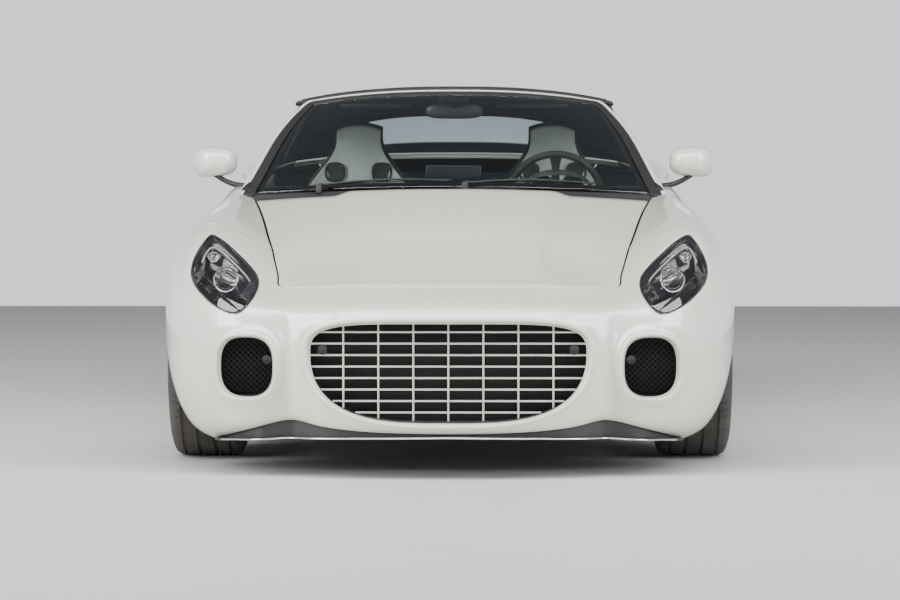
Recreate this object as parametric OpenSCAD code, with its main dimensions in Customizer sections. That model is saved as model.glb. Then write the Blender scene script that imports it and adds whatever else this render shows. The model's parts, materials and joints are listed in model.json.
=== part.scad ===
// Two-seat front-engined roadster with a raised soft top.
// +Z up, nose towards -Y, the car's left side towards +X, origin on the ground under the middle.

/* [Body] */
// Half of the body's greatest width, at the wheel arches
half_w = 992; // [930:1:1200]
// Distance between the axles
wheelbase = 2750; // [2500:10:3300]
// Nose ahead of the front axle
front_overhang = 930; // [880:10:1120]
// Tail behind the rear axle
rear_overhang = 940; // [880:10:1130]
// Height of the soft top's crown
roof_h = 1318; // [1290:1:1590]
// Thickness of the fixed outer panels
panel_t = 24; // [18:1:30]
// Thickness of the bonnet and boot lid
lid_t = 18; // [12:1:22]
// Gap round a panel that opens
shut_gap = 6; // [5.5:0.1:7.5]

/* [Wheels] */
// Outer radius of the tyres
tyre_r = 343; // [300:1:350]
// Section width of a front tyre
front_tyre_w = 255; // [210:1:290]
// Section width of a rear tyre
rear_tyre_w = 305; // [250:1:320]
// Radius of the rim at its bead
rim_r = 258; // [215:1:290]
// How far the tyre's outer wall stands in from the widest body line
tyre_inset = 20; // [12:1:35]
// Clearance between tyre and wheel arch
arch_gap = 42; // [35:1:48]
// Radius of the brake discs
disc_r = 190; // [150:1:205]

/* [Cabin] */
// Distance of each seat's middle from the centre line
seat_x = 395; // [380:1:440]
// Width of a seat's backrest
seat_w = 470; // [400:1:500]
// Radius of the steering wheel to the middle of its rim
steering_r = 178; // [150:1:195]
// Thickness of the glass
glass_t = 6; // [4:0.5:8]
// Thickness of the soft top
fabric_t = 14; // [10:1:18]

/* [Hidden] */
$fn = 48;

// ---- layout: design coordinates are those of the default sizes ----
axle_f = -(wheelbase + front_overhang + rear_overhang) / 2 + front_overhang;
axle_r = axle_f + wheelbase;
function bx(x) = x * half_w / 992;
function bz(z) = z * roof_h / 1318;
function by(y) = y < -1380 ? axle_f + (y + 1380) * front_overhang / 930
    : y > 1370 ? axle_r + (y - 1370) * rear_overhang / 940
    : axle_f + (y + 1380) * wheelbase / 2750;
function at(p) = [bx(p.x), by(p.y), bz(p.z)];
function lerp(a, b, t) = a + (b - a) * t;
function flip(p) = [-p.x, p.y, p.z];
function flat(p) = [p.x, p.y, 0];
module both_sides() {
    children();
    mirror([1, 0, 0]) children();
}

// ---- outer skin: cross-sections from the nose, along the left side, to the tail ----
// Each station: lower edge, widest point, crest, inner edge, and the slope at the crest.
function station(y, x0, z0, x3, z3, x6, z6, x8, z8) =
    [[x0, y, z0], [x3, y, z3], [x6, y, z6], [x8, y, z8], 0];
STATIONS = [
    [[0, -2288, 150], [0, -2310, 350], [0, -2236, 568], [0, -2050, 626], 0.45],
    [[230, -2276, 153], [240, -2298, 352], [240, -2224, 566], [232, -2044, 625], 0.45],
    [[425, -2222, 168], [435, -2248, 362], [440, -2178, 560], [430, -2010, 620], 0.42],
    [[515, -2146, 188], [530, -2176, 372], [545, -2122, 556], [565, -1950, 613], 0.38],
    [[620, -2150, 164], [638, -2196, 385], [655, -2070, 588], [579, -1865, 641], 0.22],
    [[715, -2062, 134], [766, -2138, 405], [742, -1962, 652], [593, -1760, 668], 0.10],
    [[785, -1925, 108], [900, -2000, 430], [800, -1800, 745], [608, -1650, 700], 0],
    [[805, -1782, 97], [968, -1782, 470], [815, -1640, 806], [624, -1520, 735], 0],
    station(-1380, 880, 120, 990, 600, 806, 852, 646, 770),
    station(-1000, 905, 150, 965, 570, 804, 892, 695, 852),
    station(-600, 893, 152, 946, 560, 812, 924, 758, 914),
    station(-100, 887, 152, 933, 560, 822, 938, 778, 932),
    station(400, 887, 152, 934, 566, 832, 954, 784, 950),
    station(850, 896, 152, 958, 585, 842, 984, 742, 992),
    station(1370, 900, 150, 990, 620, 845, 1010, 640, 1034),
    station(1800, 880, 172, 966, 600, 822, 985, 618, 1008),
    [[805, 2010, 226], [884, 2086, 585], [782, 2062, 930], [600, 2000, 977], 0],
    [[600, 2172, 246], [700, 2236, 565], [645, 2232, 902], [500, 2146, 962], 0],
    [[350, 2228, 250], [385, 2294, 556], [370, 2292, 892], [300, 2180, 957], 0],
    [[0, 2246, 250], [0, 2310, 552], [0, 2310, 888], [0, 2190, 955], 0]];
last = len(STATIONS) - 1;
function bezier(a, b, c, d, t) =
    a * pow(1 - t, 3) + 3 * b * t * pow(1 - t, 2) + 3 * c * t * t * (1 - t) + d * pow(t, 3);
function low_arc(p0, p3, a) =
    [lerp(p3.x, p0.x, 1 - sin(a)), lerp(p3.y, p0.y, 1 - sin(a)), lerp(p3.z, p0.z, cos(a))];
// The nine points of a station's section, from its lower edge to its inner edge.
function rails(s) =
    let (p0 = at(s[0]), p3 = at(s[1]), p6 = at(s[2]), p8 = at(s[3]), h = flat(p6 - p3),
         c1 = p3 + [0, 0, 0.6 * (p6.z - p3.z)], c2 = p6 - 0.55 * (h + [0, 0, s[4] * norm(h)]))
    [p0, low_arc(p0, p3, 30), low_arc(p0, p3, 60), p3, bezier(p3, c1, c2, p6, 1 / 3),
     bezier(p3, c1, c2, p6, 2 / 3), p6, (p6 + p8) / 2, p8];
// Cubic B-spline through a row of points: the row is sharpened first, so that the curve meets it.
function sharpened(row, before, after) =
    let (all = concat([before], row, [after]))
    [for (i = [1 : len(row)]) all[i] + (2 * all[i] - all[i - 1] - all[i + 1]) / 6];
function padded_ends(row) =
    let (n = len(row) - 1) concat([2 * row[0] - row[1]], row, [2 * row[n] - row[n - 1]]);
function open_row(row) =
    let (n = len(row) - 1)
    padded_ends(sharpened(row, 2 * row[0] - row[1], 2 * row[n] - row[n - 1]));
SECTIONS = [for (s = STATIONS) open_row(rails(s))];
RAILS = [for (j = [0 : 10])
    let (row = [for (s = SECTIONS) s[j]],
         sharp = sharpened(row, flip(row[1]), flip(row[last - 1])))
    concat([flip(sharp[1])], sharp, [flip(sharp[last - 1])])];
function basis(t) =
    [pow(1 - t, 3), 3 * pow(t, 3) - 6 * t * t + 4, -3 * pow(t, 3) + 3 * t * t + 3 * t + 1, pow(t, 3)] / 6;
function blend4(w, a, b, c, d) = w[0] * a + w[1] * b + w[2] * c + w[3] * d;
function along(j, i, w) = blend4(w, RAILS[j][i], RAILS[j][i + 1], RAILS[j][i + 2], RAILS[j][i + 3]);
function side_skin(u, v) =
    let (i = max(0, min(floor(u), last - 1)), j = max(0, min(floor(v), 7)),
         a = basis(u - i), b = basis(v - j))
    blend4(b, along(j, i, a), along(j + 1, i, a), along(j + 2, i, a), along(j + 3, i, a));
// Outer skin at u stations from the nose's middle and v rails from the lower edge.
function skin(u, v) = u < 0 ? flip(side_skin(-u, v)) : u > last ? flip(side_skin(2 * last - u, v))
    : side_skin(u, v);
function normal(u, v) =
    let (e = 0.01, n = cross(skin(u + e, v) - skin(u - e, v),
                             skin(u, min(v + e, 8)) - skin(u, max(v - e, 0))))
    n / norm(n);
// Where the skin passes through two given coordinates: a and b say which two of x, y and z.
function find(u, v, a, b, goal, n = 7) =
    n == 0 ? [u, v]
    : let (e = 0.01, p = skin(u, v), pu = (skin(u + e, v) - p) / e, pv = (skin(u, v + e) - p) / e,
           r = goal - [p[a], p[b]], d = pu[a] * pv[b] - pv[a] * pu[b])
    find(u + (r[0] * pv[b] - r[1] * pv[a]) / d, v + (pu[a] * r[1] - pu[b] * r[0]) / d,
        a, b, goal, n - 1);
// The station at which one rail passes a given y.
function u_of(v, y, u, n = 6) =
    n == 0 ? u : let (e = 0.01, p = skin(u, v).y) u_of(v, y, u + (y - p) * e / (skin(u + e, v).y - p), n - 1);

// ---- closed solids from two grids of points; a hole leaves out a block of cells ----
module shell(outer, inner, holes = []) {
    n = len(outer);
    m = len(outer[0]);
    function kept(i, k) = i >= 0 && i < n - 1 && k >= 0 && k < m - 1
        && len([for (h = holes) if (i >= h[0] && i < h[1] && k >= h[2] && k < h[3]) 1]) == 0;
    function o(i, k) = i * m + k;
    function p(i, k) = n * m + i * m + k;
    quads = [for (i = [0 : n - 2], k = [0 : m - 2]) if (kept(i, k)) each [
        [o(i, k), o(i, k + 1), o(i + 1, k + 1), o(i + 1, k)],
        [p(i, k), p(i + 1, k), p(i + 1, k + 1), p(i, k + 1)],
        if (!kept(i, k - 1)) [o(i, k), o(i + 1, k), p(i + 1, k), p(i, k)],
        if (!kept(i, k + 1)) [o(i + 1, k + 1), o(i, k + 1), p(i, k + 1), p(i + 1, k + 1)],
        if (!kept(i - 1, k)) [o(i, k + 1), o(i, k), p(i, k), p(i, k + 1)],
        if (!kept(i + 1, k)) [o(i + 1, k), o(i + 1, k + 1), p(i + 1, k + 1), p(i + 1, k)]]];
    polyhedron([each [for (row = outer) each row], each [for (row = inner) each row]],
        [for (q = quads) each [[q[0], q[1], q[2]], [q[0], q[2], q[3]]]], convexity = 8);
}
function steps(a, b, n) = [for (i = [0 : n]) lerp(a, b, i / n)];
// A panel of the outer skin over a grid of [u, v] pairs, of one thickness.
module skin_panel(grid, t = panel_t) {
    shell([for (row = grid) [for (q = row) skin(q[0], q[1])]],
        [for (row = grid) [for (q = row) skin(q[0], q[1]) - t * normal(q[0], q[1])]]);
}

// ---- where the outer skin is cut into panels ----
arch_r = tyre_r + arch_gap;
hinge_y = by(-520);
hinge_x = bx(948);
door_len = by(640) - hinge_y;
door_in = bx(738);
cabin_x = bx(738);
wall_y = by(-716);
wall_top = bz(880);
bulk_y = by(902);
floor_z = bz(148);
function arch_point(axle, a) = [axle - arch_r * cos(a), tyre_r + arch_r * sin(a)];
function arch_uv(axle, u, a) =
    let (p = arch_point(axle, a))
    find(u - cos(a), 1.3 + 3.3 * sin(a), 1, 2, p);
front_cut = arch_uv(axle_f, 8, 45);
rear_cut = arch_uv(axle_r, 14, 130);
front_low = arch_uv(axle_f, 8, 0);
rear_low = arch_uv(axle_r, 14, 180);
front_side_v = arch_uv(axle_f, 8, 180)[1];
rear_side_v = arch_uv(axle_r, 14, 0)[1];
function fender_front_edge(v) = v >= front_cut[1] ? front_cut[0]
    : v >= front_low[1] ? min(front_cut[0], arch_u(axle_f, v, 0, 45, 7))
    : u_of(v, axle_f - arch_r, 7);
// The station where a rail meets the wheel arch, by halving the angle.
function arch_u(axle, v, lo, hi, u, n = 14) =
    let (mid = (lo + hi) / 2, q = arch_uv(axle, axle < 0 ? 8 : 14, mid))
    n == 0 ? q[0] : q[1] < v ? arch_u(axle, v, mid, hi, u, n - 1) : arch_u(axle, v, lo, mid, u, n - 1);
function tail_edge(v) = v >= rear_cut[1] ? rear_cut[0]
    : v >= rear_low[1] ? arch_u(axle_r, v, 180, 130, 15)
    : u_of(v, axle_r + arch_r, 15);
// The door's rear edge lies on an arc about its hinge, so that the gap holds as it swings.
function arc_y(x, extra) = hinge_y + sqrt(pow(door_len + extra, 2) - pow(hinge_x - x, 2));
function rear_shut(v, extra, u = 12.6, n = 3) =
    n == 0 ? u : rear_shut(v, extra, u_of(v, arc_y(skin(u, v).x, extra), u), n - 1);
function front_shut(v, extra) = u_of(v, hinge_y - extra, 10.2);

// Grid between two rows of [u, v] pairs of the same length.
function between(a, b, n) = [for (i = [0 : len(a) - 1]) [for (k = [0 : n]) lerp(a[i], b[i], k / n)]];
fender_inner = concat(
    [for (a = steps(45, 180, 18)) arch_uv(axle_f, 8, a)],
    [for (i = [1 : 4]) let (v = front_side_v * (1 - i / 4)) [u_of(v, axle_f + arch_r, 9), v]]);
fender_outer = concat(
    [for (u = steps(front_cut[0], front_shut(8, shut_gap), 14)) [u, 8]],
    [for (i = [1 : 8]) let (v = 8 - i) [front_shut(v, shut_gap), v]]);
quarter_inner = concat(
    [for (i = [4 : -1 : 1]) let (v = rear_side_v * (1 - i / 4)) [u_of(v, axle_r - arch_r, 13), v]],
    [for (a = steps(0, 130, 18)) arch_uv(axle_r, 14, a)]);
quarter_outer = concat(
    [for (i = [0 : 8]) [rear_shut(i, shut_gap), i]],
    [for (u = steps(rear_shut(8, shut_gap), rear_cut[0], 14)) if (u > rear_shut(8, shut_gap)) [u, 8]]);

module fender() skin_panel(between(fender_inner, fender_outer, 8));
module quarter() skin_panel(between(quarter_inner, quarter_outer, 8));
module front_fender_left() color("#f2efe6") fender();
module front_fender_right() color("#f2efe6") mirror([1, 0, 0]) fender();
module rear_quarter_left() color("#f2efe6") quarter();
module rear_quarter_right() color("#f2efe6") mirror([1, 0, 0]) quarter();

// ---- nose, with its openings ----
function row_u(edge, v, n) = [for (i = [-n : n]) edge * sign(i) * pow(abs(i) / n, 0.9)];
grille_half = bx(465);
grille_low = bz(180);
grille_top = bz(516);
grille_shape = [for (a = [0 : 7.5 : 352.5])
    let (c = cos(a), s = sin(a), px = a < 180 ? 0.42 : 0.62, pz = a < 180 ? 0.62 : 0.9)
    [grille_half * sign(c) * pow(abs(c), px),
     s >= 0 ? lerp(bz(405), grille_top, pow(s, pz)) : lerp(bz(405), grille_low, pow(-s, pz))]];
intake_x = bx(670);
intake_z = bz(362);
intake_r = 95;
function oval(x, z, rx, rz, n = 24) =
    [for (i = [0 : n - 1]) [x + rx * cos(360 * i / n), z + rz * sin(360 * i / n)]];
lamp_shape = [[869, 690], [858, 725], [838, 762], [815, 785], [770, 762], [725, 725], [680, 685],
    [648, 650], [640, 620], [648, 590], [668, 560], [695, 540], [725, 538], [770, 555], [815, 585],
    [850, 620], [868, 655]];
function loop_at(pts, f) =
    let (n = len(pts), t = (f - floor(f)) * n, i = floor(t), w = t - i,
         a = pts[(i + n - 1) % n], b = pts[i % n], c = pts[(i + 1) % n], d = pts[(i + 2) % n])
    b + 0.5 * w * (c - a + w * (2 * a - 5 * b + 4 * c - d + w * (3 * (b - c) + d - a)));
lamp = [for (i = [0 : 47]) let (p = loop_at(lamp_shape, i / 48)) [bx(p.x), bz(p.y)]];
function middle(pts) = [for (p = pts) 1] * pts / len(pts);
// Square grid laid inside a closed outline, and the skin under it; grow is the outline's scale.
function ring_part(a, b, q) = a == q ? (b + q) / (8 * q) : b == q ? 0.25 + (q - a) / (8 * q)
    : a == -q ? 0.5 + (q - b) / (8 * q) : 0.75 + (a + q) / (8 * q);
function patch(pts, n, grow) = let (h = n / 2, c = middle(pts))
    [for (i = [0 : n]) [for (k = [0 : n]) let (q = max(abs(i - h), abs(k - h)))
        q == 0 ? [c.x, c.y, 0]
        : let (p = c + (loop_at(pts, ring_part(i - h, k - h, q) - 0.125) - c) * grow * q / h) [p.x, p.y, q / h]]];
NOSE_X = [[0, 0], [240, 1], [435, 2], [530, 3], [640, 4], [766, 5], [880, 6], [960, 7]];
NOSE_Z = [[150, 0], [370, 3], [580, 6], [700, 8]];
TAIL_X = [[0, 0], [385, 1], [700, 2], [884, 3]];
TAIL_Z = [[250, 0], [556, 3], [890, 6], [955, 8]];
// A point of the nose or tail with a given [x, z], sunk to a given depth.
function on_skin(tail, p, depth) =
    let (a = abs(p.x) / bx(1), h = p.y / bz(1), w = find(
        tail ? last - sign(p.x) * lookup(a, TAIL_X) : sign(p.x) * lookup(a, NOSE_X),
        lookup(h, tail ? TAIL_Z : NOSE_Z), 0, 2, [p.x, p.y], 12))
    skin(w[0], w[1]) - depth * normal(w[0], w[1]);
intake_hole = oval(intake_x, intake_z, intake_r, 1.08 * intake_r);
module along_y(shape, y0, y1) translate([0, y1, 0]) rotate([90, 0, 0]) linear_extrude(y1 - y0) polygon(shape);
nose_vs = concat(steps(0, front_cut[1], 6), steps(lerp(front_cut[1], 8, 1 / 5), 8, 4));
nose_rows = [for (v = nose_vs) [for (u = row_u(fender_front_edge(v) - 0.012, v, 18)) [u, v]]];
module nose_panel() skin_panel([for (i = [0 : 36]) [for (row = nose_rows) row[i]]]);
module nose() color("#f2efe6") difference() {
    nose_panel();
    along_y(grille_shape, by(-2400), by(-2100));
    both_sides() along_y(intake_hole, by(-2350), by(-1900));
    both_sides() along_y(lamp, by(-2250), by(-1640));
}
tail_vs = concat(steps(0, rear_cut[1], 5), steps(lerp(rear_cut[1], 8, 1 / 4), 8, 3));
tail_rows = [for (v = tail_vs) [for (i = [-13 : 13]) [last + i / 13 * (last - tail_edge(v) - 0.012), v]]];
module rear_bumper() color("#f2efe6") difference() {
    skin_panel([for (i = [0 : 26]) [for (row = tail_rows) row[i]]]);
    both_sides() for (q = tail_lamps_at) along_y(disc_points(q), by(2120), by(2400));
    translate([tow_x, by(2120), tow_z]) rotate([-90, 0, 0]) cylinder(h = 300, r = 20);
    slab_box(-262.3, 262.3, by(2310) - 60, by(2310) + 40, bz(560) - 0.3, bz(560) + 116.3);
    translate([0, 60, 0]) tail_pipes(48);
}

// ---- bonnet, boot lid and the fixed strips between them ----
function edge(u) = skin(u, 8);
function smooth(t) = let (c = max(0, min(1, t))) c * c * (3 - 2 * c);
bonnet_front = 3.25;
bonnet_rear = u_of(8, by(-836), 9.4);
bonnet_bow = by(-836) - by(-1004);
function bonnet_crown(s, t) = let (ridge = lerp(0.46, 0.56, t))
    (1 - s * s) * lerp(7, 30, smooth(t)) + 15 * smooth(t * 2.2) * smooth((ridge + 0.09 - abs(s)) / 0.16);
// Top surface inside a curved end edge and two side edges: s runs across and t runs lengthways.
function lid_point(s, side, end, end_corner, w, bow, crown) =
    [s * side.x + (end.x - s * end_corner.x) * w, side.y + (end.y - end_corner.y) * w - bow,
     side.z + (end.z - end_corner.z) * w + crown];
function bonnet_at(s, t) =
    lid_point(s, edge(lerp(bonnet_front, bonnet_rear, t)), edge(bonnet_front * s), edge(bonnet_front),
        pow(1 - t, 2), bonnet_bow * (1 - s * s) * pow(t, 3), bonnet_crown(s, t));
boot_front = u_of(8, by(1336), 13.9);
boot_rear = 17.1;
function boot_at(s, t) =
    lid_point(s, edge(lerp(boot_front, boot_rear, t)), edge(last + (last - boot_rear) * -s), edge(boot_rear),
        t * t, 0, (1 - s * s) * lerp(26, 6, smooth(t)));
// A thin lid: pts(s, t) is its top; its underside is set in from the shut line.
module lid(pts_grid, t, inset) {
    n = len(pts_grid) - 1;
    m = len(pts_grid[0]) - 1;
    function pull(i, k) = let (q = pts_grid[i][k], mid = pts_grid[round(n / 2)][round(m / 2)],
        d = flat(mid - q), w = (i == 0 || i == n || k == 0 || k == m) ? inset / max(1, norm(d)) : 0)
        q + w * d - [0, 0, t];
    shell(pts_grid, [for (i = [0 : n]) [for (k = [0 : m]) pull(i, k)]]);
}
bonnet_cols = concat(steps(1, 0.72, 2), steps(0.62, -0.62, 14), steps(-0.72, -1, 2));
module bonnet() color("#f2efe6")
    lid([for (t = steps(0, 1, 15)) [for (s = bonnet_cols)
        let (q = bonnet_at(s, t), e = 1 - shut_gap / bx(640))
        [q.x * e, q.y + shut_gap * 1.2 * pow(1 - t, 4), q.z]]], lid_t, 9);
module boot_lid() color("#f2efe6")
    lid([for (t = steps(0, 1, 10)) [for (s = steps(1, -1, 16))
        let (q = boot_at(s, t), e = 1 - shut_gap / bx(600))
        [q.x * e, q.y - shut_gap * 1.3 * pow(t, 4), q.z]]], lid_t, 9);

// ---- windscreen, its frame and the strip below it ----
function screen(s, t) =
    let (b = at([790 * s, -900 + 150 * s * s, 935 - 24 * s * s]),
         c = at([575 * s, -110 + 110 * s * s, 1296 - 41 * pow(abs(s), 2.4)]),
         side = bx(28) * sin(180 * pow(max(t, 0), 1.5)) * s * abs(s), belly = 26 * 4 * t * (1 - t) * (1 - s * s))
    lerp(b, c, t) + [side, -0.45 * belly, 0.9 * belly];
function screen_normal(s, t) = let (e = 0.01,
    n = cross(screen(s + e, t) - screen(s - e, t), screen(s, t + e) - screen(s, t - e))) n / norm(n);
module screen_panel(grid, t, out = 0) {
    shell([for (row = grid) [for (q = row) screen(q[0], q[1]) + out * screen_normal(q[0], q[1])]],
        [for (row = grid) [for (q = row) screen(q[0], q[1]) + (out - t) * screen_normal(q[0], q[1])]]);
}
pillar_w = 0.07;
frame_path = concat([for (t = steps(-0.02, 0.94, 12)) [[1, t], [1 - pillar_w, t]]],
    [[[0.99, 0.985], [1 - pillar_w, 0.95]], [[0.965, 1], [1 - pillar_w - 0.01, 0.955]]],
    [for (s = steps(0.9, -0.9, 14)) [[s, 1], [s, 0.955]]],
    [[[-0.965, 1], [pillar_w - 0.99, 0.955]], [[-0.99, 0.985], [pillar_w - 1, 0.95]]],
    [for (t = steps(0.94, -0.02, 12)) [[-1, t], [pillar_w - 1, t]]]);
module frame_solid() {
    screen_panel([for (p = frame_path) [p[0], lerp(p[0], p[1], 0.5), p[1]]], 32);
    both_sides() sail();
}
// The pillars are cut back where the door glass closes against them.
module windscreen_frame() color("#f2efe6") difference() {
    frame_solid();
    both_sides() fender();
    both_sides() glass_solid(70, 5, 6);
}
module windscreen() color("#9fb3ad")
    screen_panel([for (s = steps(-1 + pillar_w + 0.002, 1 - pillar_w - 0.002, 18)) [for (t = steps(0, 0.951, 8)) [s, t]]],
        glass_t, -5);
// The black corner between the pillar and the door glass.
module sail() {
    y0 = by(-742);
    y1 = hinge_y - shut_gap;
    function foot(y) = skin(u_of(7.6, y, 10), 7.6);
    function head(y) = let (t = (y - by(-750)) / (by(0) - by(-750))) screen(1, t) - [4, 0, 0];
    shell([for (y = steps(y0, y1, 6)) [for (k = steps(0, 1, 3)) lerp(foot(y), head(y), k)]],
        [for (y = steps(y0, y1, 6)) [for (k = steps(0, 1, 3)) lerp(foot(y), head(y), k) - [26, 0, 0]]]);
}
module cowl() color("#222426") difference() {
    cowl_sheet();
    both_sides() fender();
    frame_solid();
    for (x = [-0.62, 0.06]) wiper_post(x);
}
module cowl_sheet() {
    rows = [for (s = steps(-1, 1, 24)) let (
        f = bonnet_at(s, 1) + [0, shut_gap + 2, -12], r = screen(0.985 * s, 0.0))
        [f, lerp(f, r, 0.5) - [0, 0, 8], r - [0, 0, 10], [r.x * cabin_x / bx(778), wall_y, wall_top + 12]]];
    shell(rows, [for (row = rows) [for (q = row) q - [0, 0, 12]]]);
}

// ---- door glass line and the soft top ----
function belt(y) = skin(u_of(8, y, 11), 8);
function glass_x(z) = let (h = z - bz(930)) bx(766) - 0.40 * h - 0.00046 * h * h;
function top_edge(y, z) = [glass_x(bz(z)) + 22, by(y), bz(z)];
TOP_EDGE = [
    [top_edge(15, 1252), at([0, -100, 1303])], [top_edge(160, 1258), at([0, 100, 1314])],
    [top_edge(330, 1255), at([0, 300, 1317])], [top_edge(480, 1238), at([0, 480, 1304])],
    [top_edge(556, 1170), at([0, 640, 1288])], [top_edge(606, 1085), at([0, 780, 1251])],
    [top_edge(640, 1015), at([0, 880, 1212])], [belt(by(668)), at([0, 955, 1178])],
    [belt(by(780)), at([0, 1028, 1138])], [belt(by(880)), at([0, 1096, 1094])],
    [belt(by(985)) - [25, 0, -6], at([0, 1160, 1048])]];
function top_at(s, i) = let (e = TOP_EDGE[i][0], c = TOP_EDGE[i][1], p = 2.7)
    [s * e.x, lerp(c.y, e.y, s * s), lerp(c.z, e.z, pow(abs(s), p))];
top_n = len(TOP_EDGE) - 1;
function top_fine(s, t) = let (i = min(floor(t), top_n - 1), a = basis(t - i),
    q = function (k) k < 0 ? 2 * top_at(s, 0) - top_at(s, 1) : k > top_n ? 2 * top_at(s, top_n) - top_at(s, top_n - 1) : top_at(s, k))
    blend4(a, q(i - 1), q(i), q(i + 1), q(i + 2));
function top_normal(s, t) = let (e = 0.02,
    n = cross(top_fine(s + e, t) - top_fine(s - e, t), top_fine(s, min(t + e, top_n)) - top_fine(s, max(t - e, 0)))) n / norm(n);
top_cols = concat(steps(-1, -0.6, 4), steps(-0.5, 0.5, 6), steps(0.6, 1, 4));
top_rows = steps(0, top_n, 20);
module top_panel(ss, ts, t, out, holes = []) {
    shell([for (s = ss) [for (q = ts) top_fine(s, q) + out * top_normal(s, q)]],
        [for (s = ss) [for (q = ts) top_fine(s, q) + (out - t) * top_normal(s, q)]], holes);
}
module soft_top() color("#1d1e20") top_panel(top_cols, top_rows, fabric_t, 0, [[5, 11, 11, 18]]);
module rear_window() color("#39413f")
    top_panel([for (i = [5 : 11]) top_cols[i] * 0.998],
        concat([top_rows[11] + 0.004], [for (i = [12 : 17]) top_rows[i]], [top_rows[18] - 0.004]), glass_t, -4);
function deck_row(s) = let (
        f = top_fine(s, top_n) + [0, -18, -16], r = boot_at(s, 0) + [0, -shut_gap - 1, 0])
    [f, lerp(f, r, 0.3) + [0, 0, 9], lerp(f, r, 0.65) + [0, 0, 4], r];
module rear_deck() color("#f2efe6") difference() {
    deck_body();
    both_sides() quarter();
    top_panel(top_cols, top_rows, fabric_t, 0);
}
module deck_body() {
    e = [for (y = steps(by(985) - 18, by(1336) - shut_gap - 1, 3)) edge(u_of(8, y, 13.5)) - [0.3, 0, 0]];
    rows = concat([[for (q = e) flip(q)]], [for (s = steps(-0.92, 0.92, 18)) deck_row(s)], [e]);
    shell(rows, [for (row = rows) [for (q = row) q - [0, 0, 18]]]);
}

// ---- doors ----
door_low = find(11.5, 0.8, 1, 2, [by(0), bz(241)])[1];
sill_top = find(11.5, 0.8, 1, 2, [by(0), bz(241) - shut_gap])[1];
module door_shell() {
    vs = steps(door_low, 8, 14);
    grid = [for (k = steps(0, 1, 12)) [for (v = vs) skin(lerp(front_shut(v, 0), rear_shut(v, 0), k), v)]];
    inner = [for (row = grid) [for (j = [0 : 14]) let (q = row[j])
        [min(door_in, q.x - 22), min(max(q.y, hinge_y + 4), arc_y(door_in, -8)),
         lerp(row[0].z, row[14].z - 12, j / 14)]]];
    shell(grid, inner);
}
module door_left() color("#f2efe6") difference() {
    door_shell();
    glass_solid(0, 0, 0);
    // The pocket inside, open at the top for the glass.
    translate([door_in + 4, hinge_y + 60, bz(330)]) cube([26, door_len - 130, bz(640)]);
}
module door_right() color("#f2efe6") mirror([1, 0, 0]) door_left();
function glass_top(y) =
    let (pillar = screen(1, (y + 14 - by(-750)) / (by(0) - by(-750))).z - 10,
         rail = bz(1232 - 61 * max(0, (y - by(400)) / by(80))),
         rear = y > by(480) ? lerp(bz(1210), bz(940), pow((y - by(464)) / (by(622) - by(464)), 0.85)) : bz(1232))
    max(min(pillar, rail, rear), belt(y).z + 6);
module door_glass_left() color("#9fb3ad") glass_solid(0, 0, 0);
// The door glass, grown outward, inward and upward to make room for it in its neighbours.
module glass_solid(out, behind, above) {
    ys = concat([hinge_y + 6 - behind], steps(by(-480), by(440), 10), steps(by(460), by(618) + behind, 6));
    low = bz(905) - above;
    outer = [for (y = ys) [for (k = steps(0, 1, 5)) let (z = lerp(low, glass_top(y) + above, k))
        [glass_x(z) - (z < bz(930) ? 3 : 0) + out, y, z]]];
    shell(outer, [for (row = outer) [for (q = row) q - [glass_t + out + behind, 0, 0]]]);
}
module door_glass_right() color("#9fb3ad") mirror([1, 0, 0]) door_glass_left();
module mirror_left() color("#f2efe6") difference() {
    mirror_body();
    door_shell();
    glass_solid(0, 0, 0);
}
module mirror_body() {
    hull() {
        for (p = [[838, 990], [838, 1050], [872, 1072], [940, 1066], [962, 1030], [950, 980], [880, 968]])
            translate([bx(p[0]), by(-455), bz(p[1])]) scale([1, 1.2, 1]) sphere(11, $fn = 20);
        for (p = [[856, 1000], [856, 1040], [935, 1040], [930, 995]])
            translate([bx(p[0]), by(-505), bz(p[1])]) sphere(12, $fn = 20);
    }
    hull() {
        translate([bx(770), by(-480), bz(928)]) sphere(13, $fn = 16);
        translate([bx(800), by(-450), bz(938)]) sphere(13, $fn = 16);
        translate([bx(795), by(-420), bz(930)]) sphere(12, $fn = 16);
    }
    hull() {
        translate([bx(795), by(-450), bz(938)]) sphere(12, $fn = 16);
        translate([bx(900), by(-458), bz(975)]) sphere(12, $fn = 16);
        translate([bx(870), by(-445), bz(960)]) sphere(12, $fn = 16);
    }
}
module mirror_right() color("#f2efe6") mirror([1, 0, 0]) mirror_left();

// ---- floor, walls and structure ----
module slab_box(x0, x1, y0, y1, z0, z1) translate([x0, y0, z0]) cube([x1 - x0, y1 - y0, z1 - z0]);
module floor_pan() color("#2a2b2d") {
    difference() {
        union() {
            slab_box(-cabin_x, cabin_x, wall_y, bulk_y, floor_z, floor_z + 14);
            slab_box(-150, 150, wall_y, bulk_y, floor_z, bz(350));
        }
        slab_box(-136, 136, wall_y - 1, bulk_y + 15, floor_z - 1, bz(350) - 14);
    }
    slab_box(-600, 600, by(-2040), wall_y, floor_z, floor_z + 6);
}
module sills() color("#f2efe6") both_sides() difference() {
    sill_body();
    fender();
    quarter();
}
module sill_body() {
    skin_panel([for (u = steps(front_shut(0, 0) + 0.02, rear_shut(0, 0) - 0.02, 6))
        [for (v = steps(0, sill_top, 5)) [u, v]]], 20);
    difference() {
        slab_box(cabin_x, bx(878), axle_f + arch_r + 30, axle_r - arch_r - 30, bz(160), bz(222));
        slab_box(cabin_x + 14, bx(864), axle_f + arch_r + 44, axle_r - arch_r - 44, bz(172), bz(210));
    }
    // Pads where a jack lifts the car.
    for (y = [-800, 790]) slab_box(bx(790), bx(850), by(y) - 40, by(y) + 40, bz(148), bz(161));
}
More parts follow.
